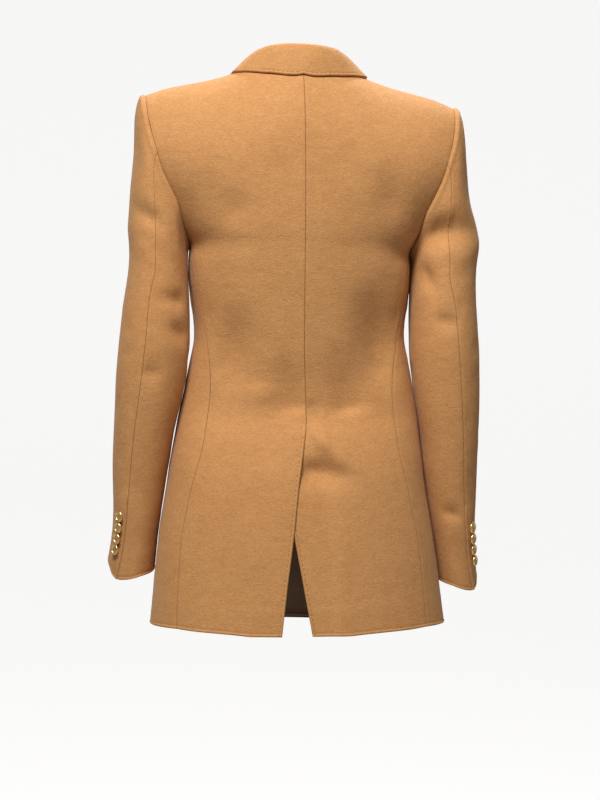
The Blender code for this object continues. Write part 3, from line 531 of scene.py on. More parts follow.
def collar_place(u, t):
    """The collar's face: u runs up the stand from the neck seam, over the fold and down to the free edge;
    t runs round the neck from the right front to the left."""
    side = np.where(t < 0, -1.0, 1.0)
    t, w = np.abs(t), 2 * u
    row = COLLAR.read(t)
    seam_place = on_body(row.seam_x, row.seam_drop)
    seam, normal = torso(*seam_place), torso_normal(*seam_place)
    later = np.where(t < 0.99, t + 0.01, t)
    away = unit(np.cross(normal, collar_seam(later) - collar_seam(later - 0.02)))
    away = away * np.sign(np.sum(away * (np.array((0, RIDGE_Y, 20)) - seam), -1, keepdims=True))
    lying = row.lying[..., None]
    foot = seam + away * (COLLAR_CLOTH + lerp(2 * SEAM, COLLAR_ROLL, lying)) - normal * lying
    edge = raised(on_body(row.edge_x, row.edge_drop), COLLAR_CLOTH + LAYER)
    free_fold = np.stack((row.fold_x, row.fold_y, row.fold_z), -1)
    start = np.zeros_like(w)
    fold = lerp(free_fold, collar_laid(row, away, start), lying)
    free_out = unit((edge - seam) * (1, 1, 0)) * COLLAR_FOLD
    laid_out_by = unit(collar_laid(row, away, start + 0.1) - collar_laid(row, away, start)) * COLLAR_BEND / 2
    out = lerp(free_out, laid_out_by, lying)
    rise = lerp(lerp(foot, fold - out, 0.6), foot + normal * COLLAR_BEND, lying)
    stand = bezier((foot, rise, fold - out, fold), np.clip(w, 0, 1))
    s = np.clip(w - 1, 0, 1)
    fall = bezier((free_fold, free_fold + free_out, lerp(edge, free_fold + free_out, 0.5), edge), s)
    fall = lerp(fall, collar_laid(row, away, s), lying)
    point = np.where((w <= 1)[..., None], stand, fall)
    return point * np.stack((side, np.ones_like(side), np.ones_like(side)), -1)


# Finer creases, as the folds but shallow; on the sleeves the first and third number are degrees round the arm
BACK_CREASES = (
    (-4, -40, -4, -440, 9, 0.25), (30, -470, 60, -520, 16, 0.8), (-30, -560, -60, -700, 20, -0.9),
    (-95, -540, -110, -700, 22, 0.8), (60, -560, 72, -700, 24, -0.8), (105, -600, 112, -715, 16, 0.7),
    (-118, -300, -138, -345, 12, 1.2), (120, -300, 138, -345, 12, 1.0), (90, -375, 128, -402, 9, 1.0),
    (-86, -372, -126, -400, 9, 1.2), (40, -330, 60, -372, 12, 0.6), (-30, -350, -56, -392, 12, 0.9),
    (20, -120, 60, -150, 30, 0.8), (-20, -110, -64, -150, 30, 0.8), (128, -120, 120, -200, 16, 1.2),
    (-128, -130, -120, -215, 16, 1.4), (140, -215, 120, -260, 12, 1.0), (-138, -215, -118, -262, 12, 1.4))
FRONT_CREASES = (
    (50, -318, 96, -340, 10, 1.2), (-50, -318, -96, -338, 10, 1.2), (20, -306, -10, -330, 12, 0.8),
    (60, -404, 104, -410, 10, 0.9), (-60, -404, -100, -412, 10, 0.9), (90, -190, 126, -240, 16, 1.4),
    (-90, -190, -126, -240, 16, 1.4), (40, -520, 60, -700, 22, -0.8), (-70, -520, -84, -700, 24, 0.9))
LEFT_ARM_CREASES = (
    (60, -150, 110, -172, 10, 1.4), (30, -215, 86, -232, 10, 1.3), (96, -262, 60, -284, 10, 1.0),
    (20, -330, 60, -352, 12, 1.3), (64, -368, 28, -384, 12, 1.1), (90, -436, 60, -452, 12, 0.9),
    (30, -500, 70, -520, 14, 0.8), (100, -540, 70, -560, 12, 0.8), (-60, -330, -20, -352, 12, 1.6),
    (-90, -372, -30, -384, 12, 1.6), (200, -372, 160, -392, 12, 1.4), (-40, -200, 0, -220, 12, 1.0),
    (-100, -210, -60, -236, 12, 1.4), (10, -440, 40, -456, 14, 0.8), (-60, -520, -20, -536, 14, 0.9))
RIGHT_ARM_CREASES = (
    (50, -176, 100, -190, 10, 1.4), (30, -246, 86, -258, 10, 1.4), (60, -290, 96, -312, 10, 1.1),
    (20, -346, 60, -360, 12, 1.4), (64, -388, 28, -398, 12, 1.1), (90, -440, 60, -460, 12, 0.9),
    (40, -512, 76, -536, 14, 0.9), (100, -548, 70, -560, 12, 0.9), (-60, -336, -20, -358, 12, 1.6),
    (-90, -380, -30, -390, 12, 1.6), (200, -380, 160, -396, 12, 1.4), (-40, -214, 0, -232, 12, 1.1),
    (-100, -220, -60, -240, 12, 1.4), (10, -452, 40, -466, 14, 0.8), (-60, -536, -20, -548, 14, 0.9))

# Distances from an edge at which a panel has its first rows of points
EDGE_STEPS = (0.0, 0.18, 0.45, 0.9, 1.5, 2.3, 3.2, 4.0, 4.8, 6.2, 8.0)
EDGE_ROUND = 0.75      # radius of a panel's edge at a seam
FREE_ROUND = 1.5       # and of a turned edge
STITCH_INSET = 4.0     # how far the hand sewing lies from a turned edge
HEM_DEPTH = 38.0       # the turned-up hem inside shows as a faint step
HEM_STEP = 0.25
NAP = 0.4              # how far the brushed fibres stand out of the solids' face
STEP = 3.4             # size of a cell in the middle of a panel
FINE_STEP = 1.7        # and of the collar and lapels
SAMPLES_ACROSS = 61    # places at which a panel is measured for its grid
SAMPLES_A_ROW = 6
SAMPLES_ROUND = 240    # along the collar and lapels
TURNED_EXTRA = 1.1     # how much thicker a turned edge is
TURNED_FADE = (4, 11)  # from and to which distance from the edge that fades out
SEAM_SHADE_WIDTH = 0.6     # of the dark line along a seam: painted shade in the seam's crevice, partly the seam's own darker fibres
CREASE_FADE = 12       # distance from a seam at which creases have their full depth
THICKEST, THINNEST = 3.4, 0.3
BODY_INSIDE = (-12, -60)  # y and highest z of the line that the body's panels turn their inside to
ARM_INSIDE_TOP = -90
SLEEVE_PUFF = 1.3      # height of the ridge on the sleeve's head beside the armhole
SLIT_LAP = (10, 26)    # distances from its edge over which the slit's upper side falls to the sleeve
SOFT_WAVES = ((0.35, 38.0, 3.0), (0.12, 13.0, 9.0))   # height, scale and seed of the cloth's unevenness

# Hand sewing
STITCH_PITCH = 6.5
STITCH_LENGTH = 2.6
STITCH_RADIUS = 0.55
VENT_STITCH_TOP = VENT_STEP - 8
FRONT_STITCH_TOP = BREAK_Z - 12
NOTCH_STITCH_START = 0.55       # share of the lapel's width from which its top edge is sewn
HOLE_PITCH = 0.62
HOLE_THREAD = 1.5
HOLE_WIDTH = 1.7
HOLE_RISE = -2.0                # a buttonhole lies this much below its button's middle
CUFF_HOLE_TURNS = (-2.0, 16.0)  # from where to where round the arm it runs, from the button
FRONT_HOLE_ENDS = (-12, 15)     # and across the front
CUFF_START = -202               # height at which the way down the sleeve starts, to find a button's place

# Colours
CAMEL_LIGHT = (0.62, 0.315, 0.119)
CAMEL_DEEP = (0.42, 0.186, 0.058)
SATIN_BROWN = (0.20, 0.105, 0.048)
THREAD_BROWN = (0.22, 0.10, 0.038)
# painted shadow inside the buttonholes' slits
SLIT_SHADE_COLOUR = (0.05, 0.026, 0.012)
GOLD_LIGHT = (1.0, 0.79, 0.41)
GOLD_DEEP = (0.96, 0.63, 0.24)
FUZZ_TINT = (1.0, 0.86, 0.66, 1.0)
PAPER_GREY = (0.3, 0.3, 0.3, 1.0)
PAPER_GLOW = 0.79
PAPER_GLOW_LOW = 0.10

# Studio: azimuth and elevation in degrees, lengths in metres
CAMERA_AZIMUTH, CAMERA_ELEVATION, CAMERA_DISTANCE = 175.5, 1.0, 3.2
CAMERA_TARGET = (0, 0, -0.43)
CAMERA_LENS = 108
SKY_TINT = (1.0, 0.74, 0.56, 1.0)
SKY_STRENGTH = 0.17
LAMP_SIZE = 0.9
LAMP_TARGET = (0, 0, -0.35)
LAMPS = (("key", (0.62, 2.02, 2.32), 146), ("front_key", (-0.6, -1.9, 2.4), 110))
BOWL = ((0.001, -1.75), (5.0, -1.75), (6.4, -1.6), (7.4, -1.0), (7.9, 0.0), (8.0, 1.4), (8.0, 6.0))
BOWL_STEPS = 64


def spaced(length, step):
    """Distances along a line of a length: close together at both ends."""
    steps = np.array(EDGE_STEPS) * min(1.0, length / (3 * EDGE_STEPS[-1]))
    inner = np.linspace(steps[-1], length - steps[-1], max(int((length - 2 * steps[-1]) / step), 2) + 1)
    return np.concatenate((steps, inner[1:-1], length - steps[::-1]))


def along(points, axis):
    """Running length of a grid's lines."""
    parts = np.linalg.norm(np.diff(points, axis=axis), axis=-1)
    start = np.zeros_like(np.take(parts, [0], axis))
    return np.concatenate((start, np.cumsum(parts, axis)), axis)


def laid_out(place, rows, step):
    """Places u and row of a grid whose lines follow the panel's edges at even distances."""
    n_rows = rows[1] - rows[0]
    us = np.linspace(0, 1, SAMPLES_ACROSS)
    rs = np.linspace(*rows, int(n_rows * SAMPLES_A_ROW) + 1 if n_rows > 3 else SAMPLES_ROUND)
    base = place(*np.meshgrid(us, rs))
    across, down = along(base, 1), along(base, 0)
    columns = spaced(float(np.median(across[:, -1])), step)
    lines = spaced(float(np.median(down[-1])), step)
    n_near = len(EDGE_STEPS)

    def fitted(pattern, total):
        scaled = pattern * total / pattern[-1]
        near = min(1.0, total / pattern[-1])
        scaled[:n_near] = np.array(EDGE_STEPS) * near * pattern[n_near - 1] / EDGE_STEPS[-1]
        scaled[-n_near:] = total - scaled[:n_near][::-1]
        middle = pattern[n_near:-n_near]
        low, high = scaled[n_near - 1], scaled[-n_near]
        share = (middle - pattern[n_near - 1]) / (pattern[-n_near] - pattern[n_near - 1])
        scaled[n_near:-n_near] = low + share * (high - low)
        return scaled

    u_of = np.array([np.interp(fitted(columns, across[i, -1]), across[i], us) for i in range(len(rs))])
    r_of = np.array([np.interp(fitted(lines, down[-1, j]), down[:, j], rs) for j in range(len(us))]).T
    share = np.linspace(0, len(rs) - 1, len(lines)).astype(int)
    u = u_of[share]
    for _ in range(2):
        row = np.array([np.interp(u[k], us, r_of[k]) for k in range(len(lines))])
        u = np.array([np.interp(row[:, j], rs, u_of[:, j]) for j in range(len(columns))]).T
    return u, row


def normals(points, inside):
    """Unit normals of a grid, away from the inside."""
    normal = unit(np.cross(np.gradient(points, axis=0), np.gradient(points, axis=1)))
    if np.mean(np.sum(normal * (points - inside), -1)) < 0:
        normal = -normal
    return normal


def rounded(distance, radius):
    """How far a face falls back near its rounded edge."""
    near = np.clip(1 - distance / radius, 0, 1)
    return radius * (1 - np.sqrt(1 - near * near))


def wavy(points, scale, seed):
    """An uneven but smooth height at each point."""
    flat = points.reshape(-1, 3) / scale
    return np.array([noise.noise(Vector(p) + Vector((seed, 0, 0))) for p in flat]).reshape(points.shape[:-1])


def added(name, data):
    """A new object in the scene."""
    made = bpy.data.objects.new(name, data)
    bpy.context.scene.collection.objects.link(made)
    return made


def smooth_object(name, mesh, *materials):
    """An object made of a mesh, which is used up, and its finishes."""
    for face in mesh.faces:
        face.smooth = True
    data = bpy.data.meshes.new(name)
    mesh.to_mesh(data)
    mesh.free()
    for material in materials:
        data.materials.append(material)
    return added(name, data)


def finished(name, mesh, *materials, slot="camel_wool"):
    """A piece of the blazer."""
    piece = smooth_object(name, mesh, *materials)
    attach(piece, "root")
    return piece


def to_mesh(name, outer, inner, seam, materials, mirror, share):
    """A closed shell: a flat slab of cells, each corner put on its place on the outer or the inner face."""
    lines, columns = outer.shape[:2]
    mesh = bmesh.new()
    uv = mesh.loops.layers.uv.new("cloth")
    bmesh.ops.create_grid(mesh, x_segments=columns - 1, y_segments=lines - 1, size=0.5)
    bmesh.ops.solidify(mesh, geom=mesh.faces[:], thickness=1.0)
    level = {}
    for vert in mesh.verts:
        level[vert] = (round((vert.co.x + 0.5) * (columns - 1)), round((vert.co.y + 0.5) * (lines - 1)),
                       round(vert.co.z))
    top = max(place[2] for place in level.values())
    outer_m, inner_m = (posed(flipped(points, mirror), share) * MM for points in (outer, inner))
    across, down = along(outer, 1) * MM, along(outer, 0) * MM
    for vert, (column, line, height) in level.items():
        vert.co = (outer_m if height == top else inner_m)[line, column]
    for face in mesh.faces:
        inside = all(level[vert][2] != top for vert in face.verts)
        face.material_index = len(materials) - 1 if inside else 0
        for loop in face.loops:
            column, line, _ = level[loop.vert]
            loop[uv].uv = (across[line, column], down[line, column])
    order = [level[vert] for vert in mesh.verts]
    if mesh.calc_volume(signed=True) < 0:
        bmesh.ops.reverse_faces(mesh, faces=mesh.faces[:])
    piece = finished(name, mesh, *materials)
    # each point's painted seam shade, partly darker fibres, stored for the wool's colour
    groove = piece.data.attributes.new("groove", "FLOAT", "POINT")
    groove.data.foreach_set("value", np.array([seam[line, column] for column, line, _ in order], np.float32))
    return piece


# Materials ---------------------------------------------------------------------------------
class Value:
    """A socket in an expression: the operators add their Math nodes."""

    def __init__(self, finish, socket):
        self.finish = finish
        self.socket = socket

    def join(self, operation, *others):
        settings = {"operation": operation}
        made = self.finish.node("ShaderNodeMath", settings, **{str(i): v for i, v in enumerate(others)})
        return Value(self.finish, made.outputs[0])

    def __add__(self, other): return self.join("ADD", self, other)
    def __radd__(self, other): return self.join("ADD", other, self)
    def __sub__(self, other): return self.join("SUBTRACT", self, other)
    def __rsub__(self, other): return self.join("SUBTRACT", other, self)
    def __mul__(self, other): return self.join("MULTIPLY", self, other)
    def __rmul__(self, other): return self.join("MULTIPLY", other, self)
    def __truediv__(self, other): return self.join("DIVIDE", self, other)
    def __pow__(self, other): return self.join("POWER", self, other)

    def between(self, low, high):
        """0 at low, 1 at high, and an even curve between."""
        inputs = {"Value": self, "From Min": low, "From Max": high}
        made = self.finish.node("ShaderNodeMapRange", {"interpolation_type": "SMOOTHSTEP"}, **inputs)
        return Value(self.finish, made.outputs[0])


class Finish:
    """A material made from nodes."""

    def __init__(self, name):
        self.material = bpy.data.materials.new(name)
        self.material.use_nodes = True
        self.tree = self.material.node_tree
        self.shader = self.tree.nodes["Principled BSDF"]

    def node(self, kind, settings=None, **inputs):
        """A node of a type, its settings set first, then the values or links of its sockets."""
        made = self.tree.nodes.new(kind)
        for key, value in (settings or {}).items():
            setattr(made, key, value)
        for key, value in inputs.items():
            self.plug(made.inputs[int(key) if key.isdigit() else key], value)
        return made

    def plug(self, socket, value):
        if isinstance(value, Value):
            value = value.socket
        if isinstance(value, bpy.types.NodeSocket):
            self.tree.links.new(value, socket)
        else:
            socket.default_value = value

    def noise(self, scale, flatness=1.0, detail=2.0, roughness=0.5):
        """An even noise; with a flatness above 1 its specks lie level."""
        place = self.node("ShaderNodeTexCoord").outputs["Object"]
        mapped = self.node("ShaderNodeMapping", Vector=place, Scale=(1.0, 1.0, flatness))
        made = self.node("ShaderNodeTexNoise", Vector=mapped.outputs[0], Scale=scale, Detail=detail,
                         Roughness=roughness)
        return Value(self, made.outputs[0])

    def attribute(self, name):
        return Value(self, self.node("ShaderNodeAttribute", {"attribute_name": name}).outputs["Fac"])

    def mix(self, share, first, second):
        """A colour between two, each of them three numbers or a socket."""
        made = self.node("ShaderNodeMix", {"data_type": "RGBA"})
        for index, value in ((0, share), (6, first), (7, second)):
            self.plug(made.inputs[index], value + (1.0,) if isinstance(value, tuple) else value)
        return made.outputs[2]

    def bumps(self, height, distance, strength=1.0):
        made = self.node("ShaderNodeBump", Height=height, Distance=distance, Strength=strength)
        self.plug(self.shader.inputs["Normal"], made.outputs[0])

    def set(self, **inputs):
        for key, value in inputs.items():
            self.plug(self.shader.inputs[key.replace("_", " ")], value)
        return self.material


def darker(colour, share):
    return tuple(channel * share for channel in colour)


def felted_wool(name, light, deep):
    """Brushed camel wool: short fibres lying level, soft mottling, and seams darkened with painted shade of
    their crevice and partly their own darker fibres.
    """
    finish = Finish(name)
    fibres = finish.noise(520.0, 3.2, 4.0, 0.62)
    flecks = finish.noise(230.0, 2.6, 3.0, 0.6)
    mottle = finish.noise(60.0, 1.8, 3.0, 0.55)
    broad = finish.noise(9.0, 0.7)
    tone = (fibres - 0.5) * 0.95 + (flecks - 0.5) * 0.75 + (mottle - 0.5) * 0.32 + (broad - 0.5) * 0.25 + 0.5
    groove = finish.attribute("groove")
    colour = finish.mix(tone.between(0.05, 0.95), deep, light)
    finish.bumps(fibres * 0.6 + flecks * 0.8 + mottle * 0.9, 0.0011, 0.55)
    # the seams' dark line: painted shade in their crevice, partly their darker fibres
    return finish.set(Base_Color=finish.mix(groove * 0.6, colour, darker(deep, 0.5)), Roughness=0.88,
                      Specular_IOR_Level=0.25, Sheen_Weight=0.12, Sheen_Roughness=0.45,
                      Sheen_Tint=FUZZ_TINT)


def satin(name, colour):
    finish = Finish(name)
    weave, drift = finish.noise(900.0, 0.25), finish.noise(14.0, 0.5)
    finish.bumps(weave, 0.0003, 0.35)
    shaded = finish.mix(drift.between(0.3, 0.7), darker(colour, 0.72), colour)
    return finish.set(Base_Color=shaded, Roughness=0.42, Specular_IOR_Level=0.4)


def polished_gold(name):
    finish = Finish(name)
    drift, fine = finish.noise(160.0), finish.noise(2200.0)
    finish.bumps(fine + drift * 0.5, 0.00004, 0.5)
    colour = finish.mix(drift.between(0.35, 0.7), GOLD_DEEP, GOLD_LIGHT)
    return finish.set(Base_Color=colour, Metallic=1.0, Roughness=drift * 0.16 + 0.24)


def sewing_thread(name, colour):
    finish = Finish(name)
    twist = finish.noise(1500.0, 2.0)
    finish.bumps(twist, 0.0003, 0.5)
    shaded = finish.mix(twist.between(0.3, 0.7), darker(colour, 0.6), colour)
    return finish.set(Base_Color=shaded, Roughness=0.6)


def studio_paper():
    """White paper: it glows far behind the object, low on the side that the camera faces."""
    finish = Finish("studio_paper")
    place = finish.node("ShaderNodeTexCoord").outputs["Object"]
    parts = finish.node("ShaderNodeSeparateXYZ", Vector=place)
    x, y, z = (Value(finish, parts.outputs[axis]) for axis in "XYZ")
    radius = (x * x + y * y) ** 0.5
    band = radius.between(2.6, 4.4) * (1.0 - z.between(1.6, 2.6)) * ((0.0 - y) / radius).between(0.72, 0.93)
    glow = PAPER_GLOW_LOW + band * (PAPER_GLOW - PAPER_GLOW_LOW)
    colour = finish.node("ShaderNodeCombineXYZ", X=glow, Y=glow, Z=glow).outputs[0]
    return finish.set(Base_Color=PAPER_GREY, Roughness=0.9, Emission_Color=colour, Emission_Strength=1.0)


WOOL = felted_wool("camel_wool_cloth", CAMEL_LIGHT, CAMEL_DEEP)
LINING = satin("satin_lining", SATIN_BROWN)
GOLD = polished_gold("polished_gold")
THREAD = sewing_thread("sewing_thread", THREAD_BROWN)
# the dark bodies in the buttonholes' slits: painted shadow
SLIT = sewing_thread("slit_shadow", SLIT_SHADE_COLOUR)


# Cloth shells ------------------------------------------------------------------------------
class Face:
    """The outer face of a finished panel, on which sewing and buttons are laid."""

    def __init__(self, points, normal, mirror, share):
        self.points = posed(flipped(points, mirror), share)
        self.normal = unit(flipped(normal, mirror))

    def nearest(self, place):
        """The place and normal on the face at a place close to it."""
        distance = np.linalg.norm(self.points - place, axis=-1)
        i = np.unravel_index(np.argmin(distance), distance.shape)
        return place + self.normal[i] * np.dot(self.points[i] - place, self.normal[i]), self.normal[i]

    def line(self, rows, columns):
        return self.points[rows, columns], self.normal[rows, columns]


def edge_fall(distance, turned):
    """How an outer face lies near an edge: rounded, and at a turned edge full up to a line of hand sewing."""
    seam = 0.22 * bump(distance, 5.0, 3.4) - rounded(distance, EDGE_ROUND)
    puff = 0.5 * bump(distance, 1.8, 1.9) - 0.5 * bump(distance, STITCH_INSET, 0.9)
    return lerp(seam, puff - rounded(distance, FREE_ROUND), turned)


def shell(name, place, rows, mirror, inside, edges, share=0.0, creases=None, lift=None, thickness=None,
          step=STEP, materials=(WOOL, LINING), held="hung", extra_cloth=(0.03, 0.04)):
    """A panel of cloth. place gives its points, inside a point behind each of them. edges says for left,
    right, top and bottom how far each is a turned edge, as a number or a function of the points."""
    u, row = laid_out(place, rows, step)
    points = place(u, row)
    core = inside(points, row)
    normal = normals(points, core)
    across, down = along(points, 1), along(points, 0)
    distances = (across, across[:, -1:] - across, down, down[-1:] - down)
    offset, extra, groove = (np.zeros(u.shape) for _ in range(3))
    fade = np.ones(u.shape)
    for distance, kind in zip(distances, edges):
        turned = kind(points) if callable(kind) else kind
        offset += edge_fall(distance, turned)
        extra += turned * TURNED_EXTRA * (1 - smooth(distance, *TURNED_FADE))
        # painted shade along a sewn seam, partly its darker fibres; none at a turned edge
        groove = np.maximum(groove, (1 - turned) * bump(distance, 0, SEAM_SHADE_WIDTH))
        fade = np.minimum(fade, lerp(smooth(distance, 0, CREASE_FADE), 1, turned))
    if held == "hung":
        offset += HEM_STEP * (1 - smooth(distances[3], HEM_DEPTH - 1.5, HEM_DEPTH + 1.5))
    if creases is not None:
        offset -= creases(points, u, row) * fade
    if lift is not None:
        offset += lift(points, u, row, distances)
    offset += NAP + sum(height * wavy(points, scale, seed) for height, scale, seed in SOFT_WAVES)
    outer = points + normal * offset[..., None]
    nearest = np.minimum.reduce(distances)
    cloth = CLOTH if thickness is None else thickness(u)
    wall = np.minimum(cloth + extra, THICKEST) - rounded(nearest, EDGE_ROUND)
    inner = outer - normal * np.maximum(wall, THINNEST)[..., None]
    piece = to_mesh(name, outer, inner, groove, materials, mirror, share)
    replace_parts(piece, name)
    return Face(outer, normal, mirror, share)


def body_core(points, row):
    core = np.zeros_like(points)
    core[..., 1] = BODY_INSIDE[0]
    core[..., 2] = np.minimum(points[..., 2], BODY_INSIDE[1])
    return core


def arm_core(points, row):
    middle = sleeve_middle(points, row)
    middle[..., 2] = np.minimum(middle[..., 2], ARM_INSIDE_TOP)
    return middle


def body_creases(table, mirror):
    return lambda points, u, row: fold_depth(table, points[..., 0] * mirror, points[..., 2])


def vent_turned(points):
    return smooth(-points[..., 2], -VENT_TOP, -VENT_STEP)


def front_turned(points):
    return smooth(-points[..., 2], -BREAK_Z - 6, -BREAK_Z + 8)


def build_back(side, mirror):
    return shell(f"back_{side}", lambda u, r: back_place(u, r, mirror), (0, LAST_ROW), mirror, body_core,
                 (vent_turned, 0, 0, 1), creases=body_creases(BACK_CREASES, mirror))


def build_side(side, mirror):
    return shell(f"side_{side}", lambda u, r: side_place(u, r, mirror), (0, len(LEVELS)), mirror, body_core,
                 (0, 0, 0, 1))


def build_front(side, mirror):
    return shell(f"front_{side}", lambda u, r: front_place(u, r, mirror), (0, LAST_ROW), mirror, body_core,
                 (front_turned, 0, 0, 1), creases=body_creases(FRONT_CREASES, mirror))


def sleeve_place(rounds, mirror):
    def place(u, row):
        reach = np.where(row < HEAD_ROWS, row / HEAD_ROWS - 1, (row - HEAD_ROWS) * SLEEVE_LENGTH / ARM_ROWS)
        return sleeve(lerp(*rounds, u), reach, mirror)
    return place


def build_sleeve(side, mirror):
    creases = LEFT_ARM_CREASES if mirror > 0 else RIGHT_ARM_CREASES

    def arm_creases(rounds):
        def depth(points, u, row):
            table = [(a * ARC_PER_DEGREE, b, c * ARC_PER_DEGREE, *rest) for a, b, c, *rest in creases]
            arc = lerp(*rounds, u) * ARC_PER_DEGREE
            return fold_depth(table, arc, points[..., 2]) * smooth(row, 1.0, 4.0)
        return depth

    def head(points, u, row, distances):
        return SLEEVE_PUFF * bump(distances[2], 6.0, 4.5) * smooth(distances[2], 0, 2.5)

    def core(points, row):
        return arm_core(points, np.maximum((row - HEAD_ROWS) * SLEEVE_LENGTH / ARM_ROWS, 0))

    def slit(points):
        return smooth(-points[..., 2], *CUFF_SLIT)

    def lapped(points, u, row, distances):
        return head(points, u, row, distances) + slit(points) * (1 - smooth(distances[1], *SLIT_LAP))

    def half(name, seams, edges, lift):
        return shell(f"{name}_{side}", sleeve_place(seams, mirror), (0, LAST_ROW), mirror, core, edges,
                     share=SLEEVE_TILT, creases=arm_creases(seams), lift=lift)

    half("sleeve_under", UNDER_SEAMS, (0, 0, 0, 1), head)
    return half("sleeve_top", TOP_SEAMS, (0, slit, 0, 1), lapped)


# What differs from the hung panels on the lapels and the collar
FOLDED = {"step": FINE_STEP, "materials": (WOOL,), "held": "folded", "extra_cloth": (0.015, 0.02)}


def build_lapel(side, mirror):
    rows = (0.0, 1.0 if mirror < 0 else UNDER_LAPEL_SHARE)

    def wall(u):
        return CLOTH * smooth(u, 0.02, 0.14) + 0.3

    return shell(f"lapel_{side}", lambda u, v: lapel_place(u, v, mirror), rows, mirror, body_core,
                 (0.5, 1, 0.7, 0.7), thickness=wall, **FOLDED)


def build_collar():
    def wall(u):
        return COLLAR_CLOTH * (1 - COLLAR_THINNING * bump(2 * u, 1.0, 0.25))

    def folded_core(points, row):
        return np.broadcast_to(np.mean(points, axis=1, keepdims=True), points.shape)

    return shell("collar", collar_place, (-1.0, 1.0), 1, folded_core, (0.3, 1, 0.6, 0.6), thickness=wall,
                 **FOLDED)


# Buttons and hand sewing -------------------------------------------------------------------
def standing(place, normal, scale=(1, 1, 1), ahead=None):
    """Stands a form on a face, its z along the normal and its x ahead, and turns millimetres into metres."""
    up = Vector(normal).normalized()
    first = Vector(ahead) if ahead is not None else up.orthogonal()
    second = up.cross(first).normalized()
    turned = Matrix((second.cross(up), second, up)).transposed().to_4x4()
    return Matrix.Translation(Vector(place) * MM) @ turned @ Matrix.Diagonal((*(Vector(scale) * MM), 1))


def turned_form(profile, steps):
    """A mesh turned round the z axis from its radii and heights."""
    mesh = bmesh.new()
    corners = [mesh.verts.new((radius, 0, height)) for radius, height in profile]
    for first, second in zip(corners, corners[1:]):
        mesh.edges.new((first, second))
    bmesh.ops.spin(mesh, geom=mesh.verts[:] + mesh.edges[:], cent=(0, 0, 0), axis=(0, 0, 1), angle=math.tau,
                   steps=steps, use_merge=True)
    return mesh


def build_button(name, radius, face, place):
    """A turned button: a raised rim round a shallow dish, on a shank."""
    on_face, normal = face.nearest(place)
    mesh = turned_form([(share * radius, height * radius) for share, height in BUTTON_PROFILE], BUTTON_STEPS)
    bmesh.ops.remove_doubles(mesh, verts=mesh.verts[:], dist=0.0001)
    bmesh.ops.recalc_face_normals(mesh, faces=mesh.faces[:])
    bmesh.ops.transform(mesh, matrix=standing(on_face + normal * BUTTON_LIFT, normal), verts=mesh.verts[:])
    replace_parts(finished(name, mesh, GOLD, slot="gold_metal"), name)


def add_threads(mesh, places, normals_there, aheads, length, radius):
    for place, normal, ahead in zip(places, normals_there, aheads):
        matrix = standing(place, normal, (length / 2, radius, radius * 0.8), ahead)
        bmesh.ops.create_uvsphere(mesh, u_segments=8, v_segments=6, radius=1.0, matrix=matrix)


def pick_stitches(name, *lines):
    """Short hand stitches, sunk in the cloth along lines of places and normals."""
    mesh = bmesh.new()
    for points, normal in lines:
        run = along(points, 0)
        stops = np.arange(STITCH_PITCH / 2, run[-1], STITCH_PITCH)

        def at(values, where):
            return np.stack([np.interp(where, run, values[:, k]) for k in range(3)], -1)

        here, up = at(points, stops), unit(at(normal, stops))
        ahead = unit(at(points, stops + 0.5) - here)
        add_threads(mesh, here - up * 0.05, up, ahead, STITCH_LENGTH, STITCH_RADIUS)
    finished(name, mesh, THREAD)


def add_buttonhole(mesh, slit, face, start, end, width):
    """A worked buttonhole: close threads round a slit, and in the slit a dark flat body of painted shadow."""
    start, end = np.array(start, float), np.array(end, float)
    length = np.linalg.norm(end - start)
    middle, normal = face.nearest((start + end) / 2)
    ahead = unit(end - start - normal * np.dot(end - start, normal))
    beside = np.cross(normal, ahead)
    straight, radius = length - width, width / 2
    half = straight + math.pi * radius
    places, aheads = [], []
    for stop in np.arange(0, 2 * half, HOLE_PITCH):
        side, run = (1, stop) if stop < half else (-1, stop - half)
        turn = max(run - straight, 0) / radius
        out = (math.sin(turn), math.cos(turn))
        a, b = min(run, straight) - straight / 2 + out[0] * radius, out[1] * radius
        places.append(face.nearest(middle + (ahead * a + beside * b) * side)[0])
        aheads.append((ahead * out[0] + beside * out[1]) * side)
    add_threads(mesh, np.array(places), [normal] * len(places), aheads, HOLE_THREAD, HOLE_PITCH * 0.55)
    # a dark flat body along the slit stands for the shade inside the cut: painted shadow
    matrix = standing(middle, normal, (straight / 2, width * 0.2, 0.25), ahead)
    bmesh.ops.create_uvsphere(slit, u_segments=16, v_segments=8, radius=1.0, matrix=matrix)


def build_cuff_details(side, mirror, face):
    """Four touching buttons up the sleeve's slit, each with a worked buttonhole towards the outer side."""
    threads, slit_shades = bmesh.new(), bmesh.new()

    def on_cuff(round_it, reach):
        return posed(flipped(sleeve(round_it, reach, mirror), mirror), SLEEVE_TILT)

    for i in range(CUFF_BUTTONS):
        z = CUFF_BUTTON_TOP - CUFF_BUTTON_PITCH * i
        round_it = CUFF_BUTTON_ROUND - i * CUFF_BUTTON_TURN
        reach = CUFF_START - z
        for _ in range(8):
            reach += float(sleeve(round_it, reach, mirror)[2]) - z
        build_button(f"cuff_button_{side}_{i + 1}", CUFF_BUTTON_RADIUS, face, on_cuff(round_it, reach))
        ends = [on_cuff(round_it - turn, reach - HOLE_RISE) for turn in CUFF_HOLE_TURNS]
        add_buttonhole(threads, slit_shades, face, *ends, HOLE_WIDTH)
    finished(f"cuff_buttonholes_{side}", threads, THREAD)
    finished(f"cuff_slit_shades_{side}", slit_shades, SLIT)


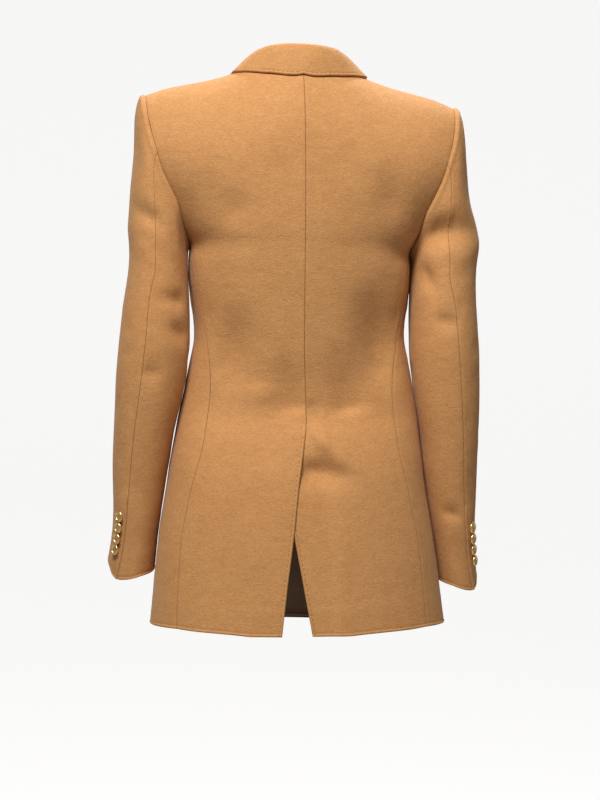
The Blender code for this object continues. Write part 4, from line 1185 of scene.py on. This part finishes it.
def build_front_details(face):
    """Two columns of buttons on the right front; those at its edge have buttonholes."""
    threads, slit_shades = bmesh.new(), bmesh.new()

    def on_front(x, z):
        return posed(flipped(torso(angle_at(-x, z, False), z), -1))

    for side, x in (("left", BUTTON_COLUMN), ("right", -BUTTON_COLUMN)):
        for i, z in enumerate(BUTTON_ROWS):
            build_button(f"front_button_{side}_{i + 1}", FRONT_BUTTON_RADIUS, face, on_front(x, z))
            if side == "left":
                ends = [on_front(x + beside, z) for beside in FRONT_HOLE_ENDS]
                add_buttonhole(threads, slit_shades, face, *ends, HOLE_WIDTH * 1.2)
    finished("front_buttonholes", threads, THREAD)
    finished("front_slits", slit_shades, SLIT)


def below(line, top_z):
    """The part of a line of places and normals that lies below a height."""
    points, normal = line
    keep = points[:, 2] < top_z
    return points[keep], normal[keep]


inset = EDGE_STEPS.index(STITCH_INSET)
for side_name, sign in (("left", 1), ("right", -1)):
    back = build_back(side_name, sign)
    build_side(side_name, sign)
    front = build_front(side_name, sign)
    lapel = build_lapel(side_name, sign)
    top_sleeve = build_sleeve(side_name, sign)
    build_cuff_details(side_name, sign, top_sleeve)
    pick_stitches(f"vent_stitches_{side_name}", below(back.line(slice(None), inset), VENT_STITCH_TOP))
    pick_stitches(f"lapel_stitches_{side_name}", lapel.line(slice(inset, -inset), -1 - inset),
                  lapel.line(inset, slice(int(lapel.points.shape[1] * NOTCH_STITCH_START), -inset)))
    if sign < 0:
        pick_stitches("front_edge_stitches", below(front.line(slice(None), inset), FRONT_STITCH_TOP))
        build_front_details(front)
collar = build_collar()
pick_stitches("collar_stitches", collar.line(slice(inset, -inset), -1 - inset))


# Studio ------------------------------------------------------------------------------------
def build_studio():
    azimuth, elevation = math.radians(CAMERA_AZIMUTH), math.radians(CAMERA_ELEVATION)
    back = Vector((math.sin(azimuth) * math.cos(elevation), -math.cos(azimuth) * math.cos(elevation),
                   math.sin(elevation)))
    lens = bpy.data.cameras.new("camera")
    lens.lens = CAMERA_LENS
    lens.clip_end = 60
    camera = added("camera", lens)
    camera.location = Vector(CAMERA_TARGET) + back * CAMERA_DISTANCE
    camera.rotation_euler = back.to_track_quat("Z", "Y").to_euler()
    bpy.context.scene.camera = camera

    world = bpy.data.worlds.new("studio")
    world.use_nodes = True
    sky = world.node_tree.nodes["Background"].inputs
    sky["Color"].default_value = SKY_TINT
    sky["Strength"].default_value = SKY_STRENGTH
    bpy.context.scene.world = world
    for name, place, watts in LAMPS:
        lamp = bpy.data.lights.new(name, "AREA")
        lamp.size = LAMP_SIZE
        lamp.energy = watts
        light = added(name, lamp)
        light.location = place
        light.rotation_euler = (Vector(place) - Vector(LAMP_TARGET)).to_track_quat("Z", "Y").to_euler()

    floor = smooth_object("studio_floor", turned_form(BOWL, BOWL_STEPS), studio_paper())
    bpy.context.scene.view_settings.view_transform = "Standard"


build_studio()
